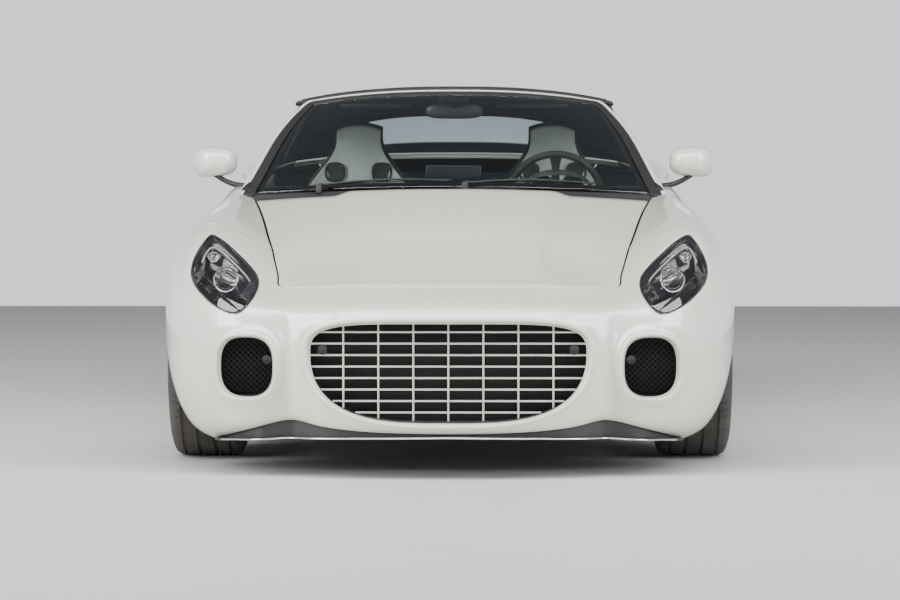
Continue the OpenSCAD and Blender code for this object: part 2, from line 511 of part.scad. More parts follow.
module firewall() color("#2a2b2d")
    difference() {
        slab_box(-cabin_x, cabin_x, wall_y - 12, wall_y, floor_z + 6, wall_top);
        slab_box(-62, 62, wall_y - 13, wall_y + 1, bz(223), bz(302));
    }
module rear_bulkhead() color("#3b2a24") {
    difference() {
        slab_box(-cabin_x, cabin_x, bulk_y, bulk_y + 14, floor_z, bz(962));
        slab_box(-136, 136, bulk_y - 1, bulk_y + 15, floor_z - 1, bz(350) - 14);
    }
    slab_box(-cabin_x + 4, cabin_x - 4, bulk_y, by(1150), bz(935), bz(950));
}
rail_x = 553;
module front_structure() color("#2a2b2d") {
    both_sides() {
        slab_box(rail_x - 53, rail_x, by(-2075), wall_y - 12, bz(330), bz(420));
        slab_box(rail_x - 300, rail_x - 53, axle_f - 60, axle_f + 60, bz(215), bz(330));
        slab_box(rail_x - 53, rail_x - 20, axle_f - 60, axle_f + 60, bz(215), bz(330));
    }
    slab_box(-rail_x + 24, rail_x - 24, by(-2097), by(-2075), bz(330), bz(420));
    slab_box(-rail_x + 53, rail_x - 53, axle_f - 60, axle_f + 60, bz(190), bz(215));
    slab_box(-380, 380, by(-2062), by(-2010), bz(240), bz(577));
}
module rear_structure() color("#2a2b2d") {
    both_sides() difference() {
        slab_box(rail_x - 73, rail_x - 13, bulk_y + 14, by(2180), bz(350), bz(420));
        translate([400, axle_r, tyre_r]) rotate([0, 90, 0]) cylinder(h = 200, r = 22);
    }
    slab_box(-rail_x + 13, rail_x - 13, by(2180), by(2215), bz(340), bz(430));
    // Thread for the tow eye.
    translate([tow_x, by(2295), tow_z]) rotate([90, 0, 0]) difference() {
        cylinder(h = by(2295) - by(2200), r = 19.7);
        translate([0, 0, -1]) cylinder(h = 41, r = 8);
    }
    both_sides() slab_box(160, rail_x - 73, axle_r - 60, axle_r + 60, bz(215), bz(300));
    both_sides() slab_box(rail_x - 73, rail_x - 43, axle_r + 25, axle_r + 60, bz(300), bz(350));
}
module boot_tub() color("#2a2b2d") {
    difference() {
        slab_box(-484, 484, by(1190), by(2105), bz(420), bz(925));
        slab_box(-474, 474, by(1200), by(2095), bz(430), bz(926));
    }
    both_sides() slab_box(480, 572, boot_at(-0.88, 0.12).y - 12, boot_at(-0.88, 0.12).y + 12, bz(915), bz(925));
    both_sides() let (q = boot_at(-0.88, 0.12))
        translate([-q.x * 0.99, q.y, bz(925)]) cylinder(h = q.z - lid_t - 1.5 - bz(925), r = 9);
}
liner_r = tyre_r + 64;
module liner(axle, x0, x1, roof) {
    w = sqrt(max(0, pow(liner_r + 5, 2) - pow(roof - 5 - tyre_r, 2)));
    if (w > 0) slab_box(x0, x1, axle - w, axle + w, roof - 5, roof);
    liner_arc(axle, x0, x1, roof);
}
module liner_arc(axle, x0, x1, roof) intersection() {
    translate([x0, axle, tyre_r]) rotate([0, 90, 0]) difference() {
        cylinder(h = x1 - x0, r = liner_r + 5, $fn = 72);
        translate([0, 0, 5]) cylinder(h = x1 - x0, r = liner_r, $fn = 72);
    }
    slab_box(x0 - 1, x1 + 1, axle - liner_r - 10, axle + liner_r + 10, bz(215), roof);
}
module wheel_liners() color("#1b1c1e") both_sides() {
    difference() {
        liner(axle_f, rail_x, bx(893), bz(728));
        fender();
        nose_panel();
        slab_box(rail_x - 1, rail_x + 6, axle_f - 160, axle_f + 160, bz(150), bz(560));
        slab_box(bx(540), bx(624), by(-1598), by(-1470), bz(690), bz(740));
    }
    difference() {
        liner(axle_r, rail_x - 13, bx(893), tyre_r + liner_r + 9);
        quarter();
        slab_box(rail_x - 14, rail_x - 7, axle_r - 160, axle_r + 160, bz(150), bz(560));
    }
}

// ---- wheels ----
front_x = half_w - tyre_inset - front_tyre_w / 2;
rear_x = half_w - tyre_inset - 6 - rear_tyre_w / 2;
module tyre(w) {
    h = w / 2;
    profile = [[rim_r, h - 22], [rim_r + 12, h - 8], [rim_r + 34, h], [rim_r + 56, h - 5],
        [tyre_r - 12, h - 13], [tyre_r - 4, h - 25], [tyre_r, h - 48]];
    rotate([0, 90, 0]) rotate_extrude($fn = 96)
        polygon(concat([for (p = profile) p], [for (i = [len(profile) - 1 : -1 : 0]) [profile[i][0], -profile[i][1]]]));
}
module rim(w) {
    h = w / 2;
    rotate([0, 90, 0]) rotate_extrude($fn = 96) polygon([[rim_r, h - 22], [rim_r - 6, h - 16], [rim_r - 16, h - 24],
        [rim_r - 18, h - 60], [rim_r - 22, -h + 40], [rim_r - 12, -h + 16], [rim_r, -h + 22]]);
    for (a = [0 : 36 : 324]) rotate([a, 0, 0]) for (k = [-1, 1])
        translate([h - 52, 0, 0]) rotate([5 * k, 0, 0]) translate([0, -8, 48]) cube([26, 16, rim_r - 64]);
    translate([h - 60, 0, 0]) rotate([0, 90, 0]) cylinder(h = 40, r = 74);
    translate([h - 150, 0, 0]) rotate([0, 90, 0]) cylinder(h = 92, r = 62);
    translate([h - 158, 0, 0]) rotate([0, 90, 0]) difference() {
        cylinder(h = 28, r = disc_r, $fn = 72);
        translate([0, 0, -1]) cylinder(h = 30, r = 58);
    }
}
module wheel_at(x, y) translate([x, y, tyre_r]) children();
module tyre_front_left() color("#18191a") wheel_at(front_x, axle_f) tyre(front_tyre_w);
module tyre_front_right() mirror([1, 0, 0]) tyre_front_left();
module tyre_rear_left() color("#18191a") wheel_at(rear_x, axle_r) tyre(rear_tyre_w);
module tyre_rear_right() mirror([1, 0, 0]) tyre_rear_left();
module rim_front_left() color("#b9bcc0") wheel_at(front_x, axle_f) rim(front_tyre_w);
module rim_front_right() mirror([1, 0, 0]) rim_front_left();
module rim_rear_left() color("#b9bcc0") wheel_at(rear_x, axle_r) rim(rear_tyre_w);
module rim_rear_right() mirror([1, 0, 0]) rim_rear_left();

// ---- suspension; the front knuckles turn on their ball joints ----
kingpin_x = front_x - 62;
front_hub = front_x + front_tyre_w / 2 - 150;
rear_hub = rear_x + rear_tyre_w / 2 - 150;
ball_low = tyre_r - 150;
ball_high = tyre_r + 165;
module caliper(hub, back) {
    // Straddles the disc behind or ahead of the axle, with air all round it.
    rotate([back * 20, 0, 0]) difference() {
        intersection() {
            translate([hub - 34, 0, 0]) rotate([0, 90, 0]) difference() {
                cylinder(h = 76, r = rim_r - 32, $fn = 72);
                translate([0, 0, -1]) cylinder(h = 80, r = disc_r - 62, $fn = 72);
            }
            translate([hub - 40, back > 0 ? 40 : -400, -130]) cube([100, 360, 260]);
        }
        translate([hub - 16, 0, 0]) rotate([0, 90, 0]) cylinder(h = 40, r = disc_r + 8, $fn = 72);
    }
}
module arm(a, b, r) let (d = b - a)
    translate(a) rotate([0, acos(d.z / norm(d)), atan2(d.y, d.x)]) cylinder(h = norm(d), r = r);
module knuckle(hub, kx, back) {
    translate([kx - 22, -34, ball_low - tyre_r + 12.3]) cube([44, 68, ball_high - ball_low - 24.6]);
    translate([kx + 20, 0, 0]) rotate([0, 90, 0]) cylinder(h = hub - kx - 20, r = 46);
    for (z = [-60, 60]) arm([kx, back * 20, z], [hub - 24, back * 165, z], 13);
    caliper(hub, back);
}
module knuckle_left() color("#6d7175") wheel_at(0, axle_f) knuckle(front_hub, kingpin_x, 1);
module knuckle_right() mirror([1, 0, 0]) knuckle_left();
module wishbone(axle, outer_x, inner_x, z, spread) {
    for (k = [-1, 1]) arm([outer_x, axle, z], [inner_x, axle + k * spread, z], 11);
    translate([outer_x, axle, z - 12]) cylinder(h = 24, r = 21);
}
module front_suspension() color("#34373a") both_sides() {
    wishbone(axle_f, kingpin_x, rail_x - 90, ball_low, 130);
    wishbone(axle_f, kingpin_x, rail_x - 30, ball_high, 110);
    arm([rail_x - 20, axle_f, ball_high - 20], [rail_x - 20, axle_f, bz(420)], 26);
}
module rear_suspension() color("#34373a") both_sides() {
    wishbone(axle_r, rear_hub - 60, rail_x - 90, ball_low, 130);
    wishbone(axle_r, rear_hub - 60, rail_x - 30, ball_high, 110);
    arm([rail_x - 30, axle_r, ball_high - 20], [rail_x - 30, axle_r, bz(420)], 26);
    wheel_at(0, axle_r) knuckle(rear_hub, rear_hub - 60, 1);
    arm([rear_hub - 40, axle_r, tyre_r], [160, axle_r, tyre_r], 18);
}
module powertrain() color("#55585c") {
    slab_box(-290, 290, by(-1290), by(-760), bz(215), bz(690));
    slab_box(-60, 60, by(-760), axle_r - 150, bz(225), bz(300));
    slab_box(-160, 160, axle_r - 160, axle_r + 150, bz(215), bz(415));
}

// ---- lamps and openings at the nose ----
module on_patch(pts, tail, front, back, grow = 0.985, n = 8) {
    g = patch(pts, n, grow);
    shell([for (row = g) [for (p = row) on_skin(tail, p, front)]],
        [for (row = g) [for (p = row) on_skin(tail, p, back)]]);
}
module bowl_body() {
    g = patch(lamp, 8, 0.985);
    axis = on_skin(false, middle(lamp), 55) - on_skin(false, middle(lamp), 0);
    dish = [for (row = g) [for (p = row) on_skin(false, p, 7) + axis * smooth((1 - p.z) / 0.5)]];
    shell(dish, [for (row = dish) [for (q = row) q + 0.11 * axis]]);
    for (q = [[750, 640, 42], [800, 712, 30]])
        translate([bx(q[0]), on_skin(false, [bx(q[0]), bz(q[1])], 0).y + 46, bz(q[1])]) rotate([-90, 0, 0])
            difference() {
                cylinder(h = 42, r = q[2]);
                translate([0, 0, -1]) cylinder(h = 20, r = q[2] - 5);
            }
}
module headlamp_bowls() color("#141516") both_sides() difference() {
    intersection() {
        bowl_body();
        along_y(grown(lamp, -0.4), by(-2300), by(-1500));
    }
    on_patch(lamp, false, -6, 5.7, 1.1, 8);
}
module headlamp_lenses() color("#c9d2d6") both_sides() intersection() {
    on_patch(lamp, false, 1, 5, 0.985, 8);
    along_y(grown(lamp, -0.4), by(-2300), by(-1500));
}
module egg_crate(xs, zs, y0, y1, w) {
    for (x = xs) slab_box(x - w / 2, x + w / 2, y0, y1, 0, 1000);
    for (z = zs) slab_box(-1000, 1000, y0, y1, z - w / 2, z + w / 2);
}
// A closed tube through rings of points.
module tube(rings) {
    n = len(rings);
    m = len(rings[0]);
    polyhedron([for (r = rings) each r], [for (i = [0 : n - 1], k = [0 : m - 1])
        let (a = i * m, b = ((i + 1) % n) * m, l = (k + 1) % m) each [[a + k, b + l, b + k], [a + k, a + l, b + l]]],
        convexity = 6);
}
grille_y = by(-2192);
function grown(pts, g) = let (c = middle(pts)) [for (p = pts) p + g * (p - c) / norm(p - c)];
module surround(pts, back, wall) {
    outer = grown(pts, -0.3);
    inner = grown(pts, -wall);
    function front(p) = on_skin(false, p, 0) + [0, 5, 0];
    tube([[for (p = outer) front(p)], [for (p = outer) [p.x, back, p.y]],
        [for (p = inner) [p.x, back, p.y]], [for (p = inner) front(p) + [0, 6, 0]]]);
}
module grille() color("#e9e6dd") {
    intersection() {
        egg_crate([for (i = [-3 : 3]) i * bx(115.4)], [for (k = [0 : 7]) bz(479 - 38 * k)], grille_y - 18, grille_y, 5.5);
        along_y(grown(grille_shape, -3), grille_y - 30, grille_y + 30);
    }
    surround(grille_shape, grille_y + 2, 6);
}
module intake_meshes() color("#17181a") {
    both_sides() {
        surround(intake_hole, by(-2010), 5);
        along_y(grown(intake_hole, -1), by(-2022), by(-2010));
    }
    slab_box(-bx(500), bx(500), by(-2112), by(-2106), bz(170), bz(540));
}
function lip(u, out) = let (n = flat(normal(u, 0.6))) skin(u, 0) + out * n / norm(n);
function blade_z(q) = bz(lookup(abs(q.x) / bx(1), [[0, 143], [300, 139], [550, 131], [700, 121], [785, 109]]));
module splitter() color("#1a1b1c") {
    us = steps(-5.9, 5.9, 28);
    top = [for (u = us) [lip(u, 16), lip(u, -30), lip(u, -45), lip(u, -90)]];
    shell([for (row = top) [for (q = row) [q.x, q.y, blade_z(row[0])]]],
        [for (row = top) [for (q = row) [q.x, q.y, blade_z(row[0]) - 10]]]);
}

// ---- tail ----
tail_lamps_at = [[618, 742, 66], [452, 752, 54]];
function disc_points(q) = oval(bx(q[0]), bz(q[1]), q[2], q[2], 32);
module tail_lamps() color("#8d1a1c") both_sides() for (q = tail_lamps_at) intersection() {
    mirror([1, 0, 0]) on_patch([for (p = disc_points(q)) [-p.x, p.y]], true, -3, 22, 0.99, 6);
    along_y(grown(disc_points(q), -0.4), by(2120), by(2400));
}
tow_x = bx(330);
tow_z = bz(385);
module tail_pipes(r) both_sides() for (x = [340, 440])
    translate([bx(x), by(2240), bz(268)]) rotate([90, 0, 0]) cylinder(h = by(2240) - by(1940), r = r);
module exhaust() color("#9a9da1") {
    slab_box(-420, 420, by(1700), by(1950), bz(225), bz(345));
    both_sides() for (x = [340, 440]) translate([bx(x), by(2240), bz(268)]) rotate([90, 0, 0]) difference() {
        cylinder(h = by(2240) - by(1940), r = 42);
        translate([0, 0, -1]) cylinder(h = 120, r = 38);
    }
    slab_box(-50, 50, wall_y, by(1700), bz(180), bz(210));
    slab_box(-50, 50, by(1690), by(1705), bz(180), bz(240));
}
module diffuser() color("#1a1b1c") difference() {
    diffuser_body();
    tail_pipes(46);
    slab_box(-50.5, 50.5, by(900), by(1706), bz(179), bz(241));
}
module diffuser_body() {
    rows = [for (k = steps(0, 1, 6)) [for (s = steps(1, -1, 8)) [s * bx(560), lerp(bulk_y + 14, by(2225), k),
        bz(152) + (bz(248) - bz(160)) * pow(max(0, (k - 0.45) / 0.55), 1.4)]]];
    shell([for (row = rows) [for (q = row) q + [0, 0, 6]]], rows);
    for (x = [-420 : 140 : 420]) hull() {
        slab_box(x - 4, x + 4, by(1700), by(1710), bz(150), bz(158));
        slab_box(x - 4, x + 4, by(2200), by(2210), bz(178), bz(246));
    }
}
module plate_carrier() color("#1a1b1c") difference() {
    slab_box(-262, 262, by(2310) - 30, by(2310) + 6, bz(560), bz(560) + 116);
    for (x = [-89, 89]) translate([x, by(2310) + 7, bz(560) + 58]) rotate([90, 0, 0]) cylinder(h = 20, r = 3.2);
}

// ---- cabin ----
module dashboard() color("#24211f") difference() {
    dash_body();
    column_body();
}
module dash_body() {
    path = [[-715.7, 892], [-560, 918], [-350, 930], [-300, 905], [-286, 740], [-350, 660], [-480, 640]];
    back = [[-715.7, 876], [-560, 900], [-362, 911], [-322, 892], [-306, 748], [-360, 680], [-480, 656]];
    shell([for (x = steps(-728, 728, 12)) [for (q = path) at([x, q[0], q[1]])]],
        [for (x = steps(-728, 728, 12)) [for (q = back) at([x, q[0], q[1]])]]);
    translate([seat_x, by(-300), bz(915)]) rotate([90, 0, 0]) difference() {
        scale([1.45, 0.8, 1]) cylinder(h = 170, r = 92);
        translate([0, 0, -1]) scale([1.4, 0.74, 1]) cylinder(h = 60, r = 88);
        translate([-200, -200, -2]) cube([400, 190, 200]);
    }
}
wheel_tilt = 22;
hub_at = [seat_x, by(60), bz(880)];
module on_column() translate(hub_at) rotate([wheel_tilt - 90, 0, 0]) children();
module steering_column() color("#1c1c1e") column_body();
module column_body() on_column() {
    translate([0, 0, -395]) cylinder(h = 360, r = 26);
    translate([0, 0, -300]) cylinder(h = 200, r = 44);
}
module steering_wheel() color("#1c1c1e") on_column() {
    rotate_extrude($fn = 72) translate([steering_r, 0]) circle(15, $fn = 20);
    translate([0, 0, -34.7]) cylinder(h = 30, r = 30);
    translate([0, 0, -8]) cylinder(h = 20, r = 62);
    for (a = [0, 180, 270]) rotate([0, 0, a]) translate([40, -20, -6]) cube([steering_r - 42, 40, 12]);
}
module seat() {
    w = seat_w / 2;
    // Cushion, with raised sides.
    xs = steps(1, -1, 12);
    function side(s) = pow(abs(s), 4);
    shell([for (k = steps(0, 1, 8)) [for (s = xs) [seat_x + s * (w + 10), by(75) + k * 500,
            bz(398) - 60 * k - 40 * pow(1 - k, 6) + 70 * side(s) * sin(180 * min(1, k + 0.15))]]],
        [for (k = steps(0, 1, 8)) [for (s = xs) [seat_x + s * (w + 4), by(81) + k * 490, bz(250)]]]);
    // Backrest, which narrows to the head.
    function width(k) = k < 0.62 ? w * (0.94 + 0.06 * sin(180 * k / 0.62)) : lerp(w * 0.94, 92, smooth((k - 0.62) / 0.3));
    function back_y(k) = by(525) + 30 * k + 90 * k * k;
    ks = steps(0, 1, 16);
    shell([for (k = ks) [for (s = steps(1, -1, 12)) [seat_x + s * width(k), back_y(k) - 60 * side(s) * (1 - smooth((k - 0.6) / 0.3)),
            bz(345) + k * bz(815) - 18 * s * s * smooth((k - 0.9) * 10)]]],
        [for (k = ks) [for (s = steps(1, -1, 12)) [seat_x + s * (width(k) - 4), back_y(k) + 70 + 40 * (1 - s * s) * (1 - k) + 15 * (1 - s * s),
            bz(335) + k * bz(832) - 16 * s * s * smooth((k - 0.9) * 10)]]]);
    for (x = [-190, 160]) slab_box(seat_x + x, seat_x + x + 30, by(115), by(555), floor_z + 14, bz(252));
}
module seat_left() color("#dfe3d6") seat();
module seat_right() color("#dfe3d6") mirror([1, 0, 0]) seat();
module centre_console() color("#24211f") {
    slab_box(-96, 96, by(-420), bulk_y - 10, bz(350), bz(470));
    slab_box(-86, 86, by(220), by(560), bz(470), bz(548));
    hull() {
        slab_box(-90, 90, by(-420), by(-100), bz(470), bz(478));
        slab_box(-86, 86, by(-420), by(-400), bz(612), bz(622));
    }
    translate([0, by(-20), bz(465)]) cylinder(h = 95, r1 = 16, r2 = 9);
    translate([0, by(-20), bz(572)]) sphere(22);
}
module interior_mirror() color("#1c1c1e") {
    m = screen(0, 0.9);
    hull() for (x = [-88, 88]) translate([x, m.y + 62, m.z - 58]) scale([1, 0.5, 1]) sphere(26, $fn = 20);
    hull() {
        translate([0, m.y + 55, m.z - 55]) sphere(8, $fn = 16);
        translate([0, m.y + 12, m.z - 17]) sphere(8, $fn = 16);
    }
}
module wipers() color("#141516") for (x = [-0.62, 0.06]) {
    a = screen(x, 0.012) + [0, -14, 14];
    b = screen(x + 0.6, 0.03) + [0, -10, 14];
    translate([0, 0, -2]) hull() {
        translate(a) sphere(9, $fn = 12);
        translate(b) sphere(5, $fn = 12);
    }
    wiper_post(x);
}
module wiper_post(x) translate(screen(x, 0.012) + [0, -20, -20]) cylinder(h = 34, r = 11);

floor_pan();
nose();
front_fender_left();
front_fender_right();
rear_quarter_left();
rear_quarter_right();
rear_bumper();
sills();
cowl();
windscreen_frame();
windscreen();
soft_top();
rear_window();
rear_deck();
grille();
intake_meshes();
splitter();
headlamp_bowls();
headlamp_lenses();
tail_lamps();
diffuser();
exhaust();
plate_carrier();
dashboard();
steering_column();
seat_left();
seat_right();
centre_console();
interior_mirror();
wipers();
powertrain();
front_structure();
rear_structure();
boot_tub();
firewall();
rear_bulkhead();
wheel_liners();
front_suspension();
rear_suspension();
bonnet();
boot_lid();
door_left();
door_right();
door_glass_left();
door_glass_right();
mirror_left();
mirror_right();
knuckle_left();
knuckle_right();
tyre_front_left();
tyre_front_right();
tyre_rear_left();
tyre_rear_right();
rim_front_left();
rim_front_right();
rim_rear_left();
rim_rear_right();
steering_wheel();
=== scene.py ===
"""A two-seat, front-engined roadster with its soft top raised, laid out as a Blender add-on.

The frame comes from the packed model. Lengths in this file are in metres, +Z is up, the nose
points to -Y and the car's left side is +X.
"""

import json
import math

import bpy
import numpy as np
from mathutils import Matrix, Vector


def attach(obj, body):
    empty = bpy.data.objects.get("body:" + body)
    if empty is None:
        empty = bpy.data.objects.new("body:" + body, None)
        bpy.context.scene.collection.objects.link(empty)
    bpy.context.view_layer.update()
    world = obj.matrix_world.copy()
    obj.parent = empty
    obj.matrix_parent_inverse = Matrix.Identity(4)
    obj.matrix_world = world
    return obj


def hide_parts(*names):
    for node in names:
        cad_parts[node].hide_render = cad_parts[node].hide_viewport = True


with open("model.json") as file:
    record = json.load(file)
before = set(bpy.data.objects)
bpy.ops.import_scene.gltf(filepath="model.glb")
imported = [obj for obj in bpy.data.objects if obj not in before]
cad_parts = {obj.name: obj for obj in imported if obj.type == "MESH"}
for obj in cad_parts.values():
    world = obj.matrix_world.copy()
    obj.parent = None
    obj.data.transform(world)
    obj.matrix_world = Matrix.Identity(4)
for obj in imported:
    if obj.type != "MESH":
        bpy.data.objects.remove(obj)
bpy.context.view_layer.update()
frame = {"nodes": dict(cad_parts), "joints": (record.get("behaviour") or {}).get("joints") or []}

bl_info = {
    "name": "Roadster builder",
    "version": (1, 0, 0),
    "blender": (4, 5, 0),
    "location": "View3D > Sidebar > Roadster",
    "description": "Builds the visible pieces of a soft-top roadster on its packed frame",
    "category": "Add Mesh",
}


def joint_at(name):
    """Where a joint of the frame sits."""
    return Vector(next(j for j in frame["joints"] if j["name"] == name)["pos_m"])


FRONT_WHEEL = joint_at("wheel_front_left_spin")
REAR_WHEEL = joint_at("wheel_rear_left_spin")
HUB = joint_at("steering_wheel_turn")


# ---- outer skin, the same cross-sections as the solid model ----

STATIONS = np.array([
    [[0, -2288, 150], [0, -2310, 350], [0, -2236, 568], [0, -2050, 626]],
    [[230, -2276, 153], [240, -2298, 352], [240, -2224, 566], [232, -2044, 625]],
    [[425, -2222, 168], [435, -2248, 362], [440, -2178, 560], [430, -2010, 620]],
    [[515, -2146, 188], [530, -2176, 372], [545, -2122, 556], [565, -1950, 613]],
    [[620, -2150, 164], [638, -2196, 385], [655, -2070, 588], [579, -1865, 641]],
    [[715, -2062, 134], [766, -2138, 405], [742, -1962, 652], [593, -1760, 668]],
    [[785, -1925, 108], [900, -2000, 430], [800, -1800, 745], [608, -1650, 700]],
    [[805, -1782, 97], [968, -1782, 470], [815, -1640, 806], [624, -1520, 735]],
    [[880, -1380, 120], [990, -1380, 600], [806, -1380, 852], [646, -1380, 770]],
    [[905, -1000, 150], [965, -1000, 570], [804, -1000, 892], [695, -1000, 852]],
    [[893, -600, 152], [946, -600, 560], [812, -600, 924], [758, -600, 914]],
    [[887, -100, 152], [933, -100, 560], [822, -100, 938], [778, -100, 932]],
    [[887, 400, 152], [934, 400, 566], [832, 400, 954], [784, 400, 950]],
    [[896, 850, 152], [958, 850, 585], [842, 850, 984], [742, 850, 992]],
    [[900, 1370, 150], [990, 1370, 620], [845, 1370, 1010], [640, 1370, 1034]],
    [[880, 1800, 172], [966, 1800, 600], [822, 1800, 985], [618, 1800, 1008]],
    [[805, 2010, 226], [884, 2086, 585], [782, 2062, 930], [600, 2000, 977]],
    [[600, 2172, 246], [700, 2236, 565], [645, 2232, 902], [500, 2146, 962]],
    [[350, 2228, 250], [385, 2294, 556], [370, 2292, 892], [300, 2180, 957]],
    [[0, 2246, 250], [0, 2310, 552], [0, 2310, 888], [0, 2190, 955]],
]) / 1000.0
CREST_SLOPE = [0.45, 0.45, 0.42, 0.38, 0.22, 0.10] + [0.0] * 14
LAST = len(STATIONS) - 1
FLIP = np.array([-1.0, 1.0, 1.0])


def bezier(a, b, c, d, t):
    return a * (1 - t) ** 3 + 3 * b * t * (1 - t) ** 2 + 3 * c * t * t * (1 - t) + d * t**3


def section_points(station, slope):
    """The nine points of a cross-section, from its lower edge to its inner edge."""
    low, wide, crest, inner = station
    points = [low]
    for a in (math.radians(30), math.radians(60)):
        across = wide[:2] + (low[:2] - wide[:2]) * (1 - math.sin(a))
        points.append(np.array([*across, wide[2] + (low[2] - wide[2]) * math.cos(a)]))
    flat = np.array([crest[0] - wide[0], crest[1] - wide[1], 0.0])
    first = wide + np.array([0, 0, 0.6 * (crest[2] - wide[2])])
    second = crest - 0.55 * (flat + np.array([0, 0, slope * np.linalg.norm(flat)]))
    points.append(wide)
    points += [bezier(wide, first, second, crest, t) for t in (1 / 3, 2 / 3)]
    return np.array(points + [crest, (crest + inner) / 2, inner])


def sharpened(row, before, after):
    """Control points that make a cubic B-spline meet the row."""
    row = np.concatenate([[before], row, [after]])
    return row[1:-1] + (2 * row[1:-1] - row[:-2] - row[2:]) / 6


def build_rails():
    sections = []
    for station, slope in zip(STATIONS, CREST_SLOPE):
        p = section_points(station, slope)
        q = sharpened(p, 2 * p[0] - p[1], 2 * p[-1] - p[-2])
        sections.append(np.concatenate([[2 * q[0] - q[1]], q, [2 * q[-1] - q[-2]]]))
    rows = []
    for rail in np.swapaxes(np.array(sections), 0, 1):
        q = sharpened(rail, rail[1] * FLIP, rail[-2] * FLIP)
        rows.append(np.concatenate([[q[1] * FLIP], q, [q[-2] * FLIP]]))
    return np.array(rows)


RAILS = build_rails()


def spline_weights(t):
    return np.stack([(1 - t) ** 3, 3 * t**3 - 6 * t * t + 4,
                     -3 * t**3 + 3 * t * t + 3 * t + 1, t**3], -1) / 6


def skin(u, v):
    """Points of the outer skin at u stations from the nose's middle and v rails from the lower edge."""
    u, v = np.broadcast_arrays(np.asarray(u, float), np.asarray(v, float))
    right = (u < 0) | (u > LAST)
    w = np.where(u < 0, -u, np.where(u > LAST, 2 * LAST - u, u))
    i = np.clip(np.floor(w), 0, LAST - 1).astype(int)
    j = np.clip(np.floor(v), 0, 7).astype(int)
    a, b = spline_weights(w - i), spline_weights(v - j)
    out = np.zeros(u.shape + (3,))
    for m in range(4):
        for k in range(4):
            out += (b[..., m] * a[..., k])[..., None] * RAILS[j + m, i + k]
    out[..., 0] = np.where(right, -out[..., 0], out[..., 0])
    return out


def skin_normal(u, v):
    e = 0.01
    du = skin(u + e, v) - skin(u - e, v)
    dv = skin(u, np.minimum(v + e, 8)) - skin(u, np.maximum(v - e, 0))
    n = np.cross(du, dv)
    return n / np.linalg.norm(n, axis=-1, keepdims=True)


def find(u, v, a, b, goal_a, goal_b, steps=12):
    """(u, v) where the skin passes two given coordinates."""
    u, v = np.array(u, float), np.array(v, float)
    e = 0.01
    for _ in range(steps):
        p = skin(u, v)
        pu, pv = (skin(u + e, v) - p) / e, (skin(u, v + e) - p) / e
        ra, rb = goal_a - p[..., a], goal_b - p[..., b]
        d = pu[..., a] * pv[..., b] - pv[..., a] * pu[..., b]
        u = u + (ra * pv[..., b] - rb * pv[..., a]) / d
        v = v + (pu[..., a] * rb - pu[..., b] * ra) / d
    return u, v


def station_of(v, y, u, steps=8):
    """The station at which rail v passes a given y."""
    u = np.array(u, float) + np.zeros_like(np.asarray(v, float))
    e = 0.01
    for _ in range(steps):
        p = skin(u, v)[..., 1]
        u = u + (y - p) * e / (skin(u + e, v)[..., 1] - p)
    return u


def on_front(x, z):
    """(u, v) of the nose skin at a given x and z."""
    x, z = np.asarray(x, float), np.asarray(z, float)
    u = np.sign(x) * np.interp(abs(x), [0, .24, .435, .53, .64, .766, .88, .96], range(8))
    v = np.interp(z, [.15, .37, .58, .70], [0, 3, 6, 8])
    return find(u, v, 0, 2, x, z)


def on_tail(x, z):
    x, z = np.asarray(x, float), np.asarray(z, float)
    u = LAST - np.sign(x) * np.interp(abs(x), [0, .385, .7, .884], range(4))
    v = np.interp(z, [.25, .556, .89, .955], [0, 3, 6, 8])
    return find(u, v, 0, 2, x, z)


def smooth(t):
    t = np.clip(t, 0, 1)
    return t * t * (3 - 2 * t)


# ---- meshes ----

def quads(n, m, wrap_n=False, wrap_m=False):
    """Faces of an n by m grid of points."""
    return [(i * m + k, ((i + 1) % n) * m + k, ((i + 1) % n) * m + (k + 1) % m, i * m + (k + 1) % m)
            for i in range(n if wrap_n else n - 1) for k in range(m if wrap_m else m - 1)]


def mesh_piece(name, points, faces, material, body, replaces=(), slot=None, shade=40,
               thick=0.0, bevel=0.0, bevel_segments=2, subdivide=0):
    """A named mesh object that rides on a CAD body, with its modifiers."""
    mesh = bpy.data.meshes.new(name)
    mesh.from_pydata([tuple(p) for p in points], [], [tuple(f) for f in faces])
    mesh.validate()
    obj = bpy.data.objects.new(name, mesh)
    bpy.context.scene.collection.objects.link(obj)
    for m in material if isinstance(material, (list, tuple)) else [material]:
        mesh.materials.append(m)
    mesh.polygons.foreach_set("use_smooth", [True] * len(mesh.polygons))
    if thick:
        mod = obj.modifiers.new("Sheet thickness", "SOLIDIFY")
        mod.thickness = thick
        mod.offset = -1
        mod.use_quality_normals = True
    if bevel:
        mod = obj.modifiers.new("Rounded edges", "BEVEL")
        mod.width = bevel
        mod.segments = bevel_segments
        mod.limit_method = "ANGLE"
        mod.angle_limit = math.radians(shade)
        mod.use_clamp_overlap = True
    if subdivide:
        mod = obj.modifiers.new("Smooth form", "SUBSURF")
        mod.levels = mod.render_levels = subdivide
    mesh.set_sharp_from_angle(angle=math.radians(shade))
    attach(obj, body)
    if replaces:
        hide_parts(*replaces)
    return obj


def mirrored(points, faces):
    """The same mesh on the other side of the car."""
    return np.asarray(points) * FLIP, [tuple(reversed(f)) for f in faces]


def pair(name, points, faces, material, bodies, nodes=(None, None), **options):
    """A left piece and its mirror image on the right."""
    bodies = (bodies, bodies) if isinstance(bodies, str) else bodies
    made = [mesh_piece(name + "_left", points, faces, material, bodies[0],
                       replaces=(nodes[0],) if nodes[0] else (), **options)]
    points, faces = mirrored(points, faces)
    made.append(mesh_piece(name + "_right", points, faces, material, bodies[1],
                           replaces=(nodes[1],) if nodes[1] else (), **options))
    return made


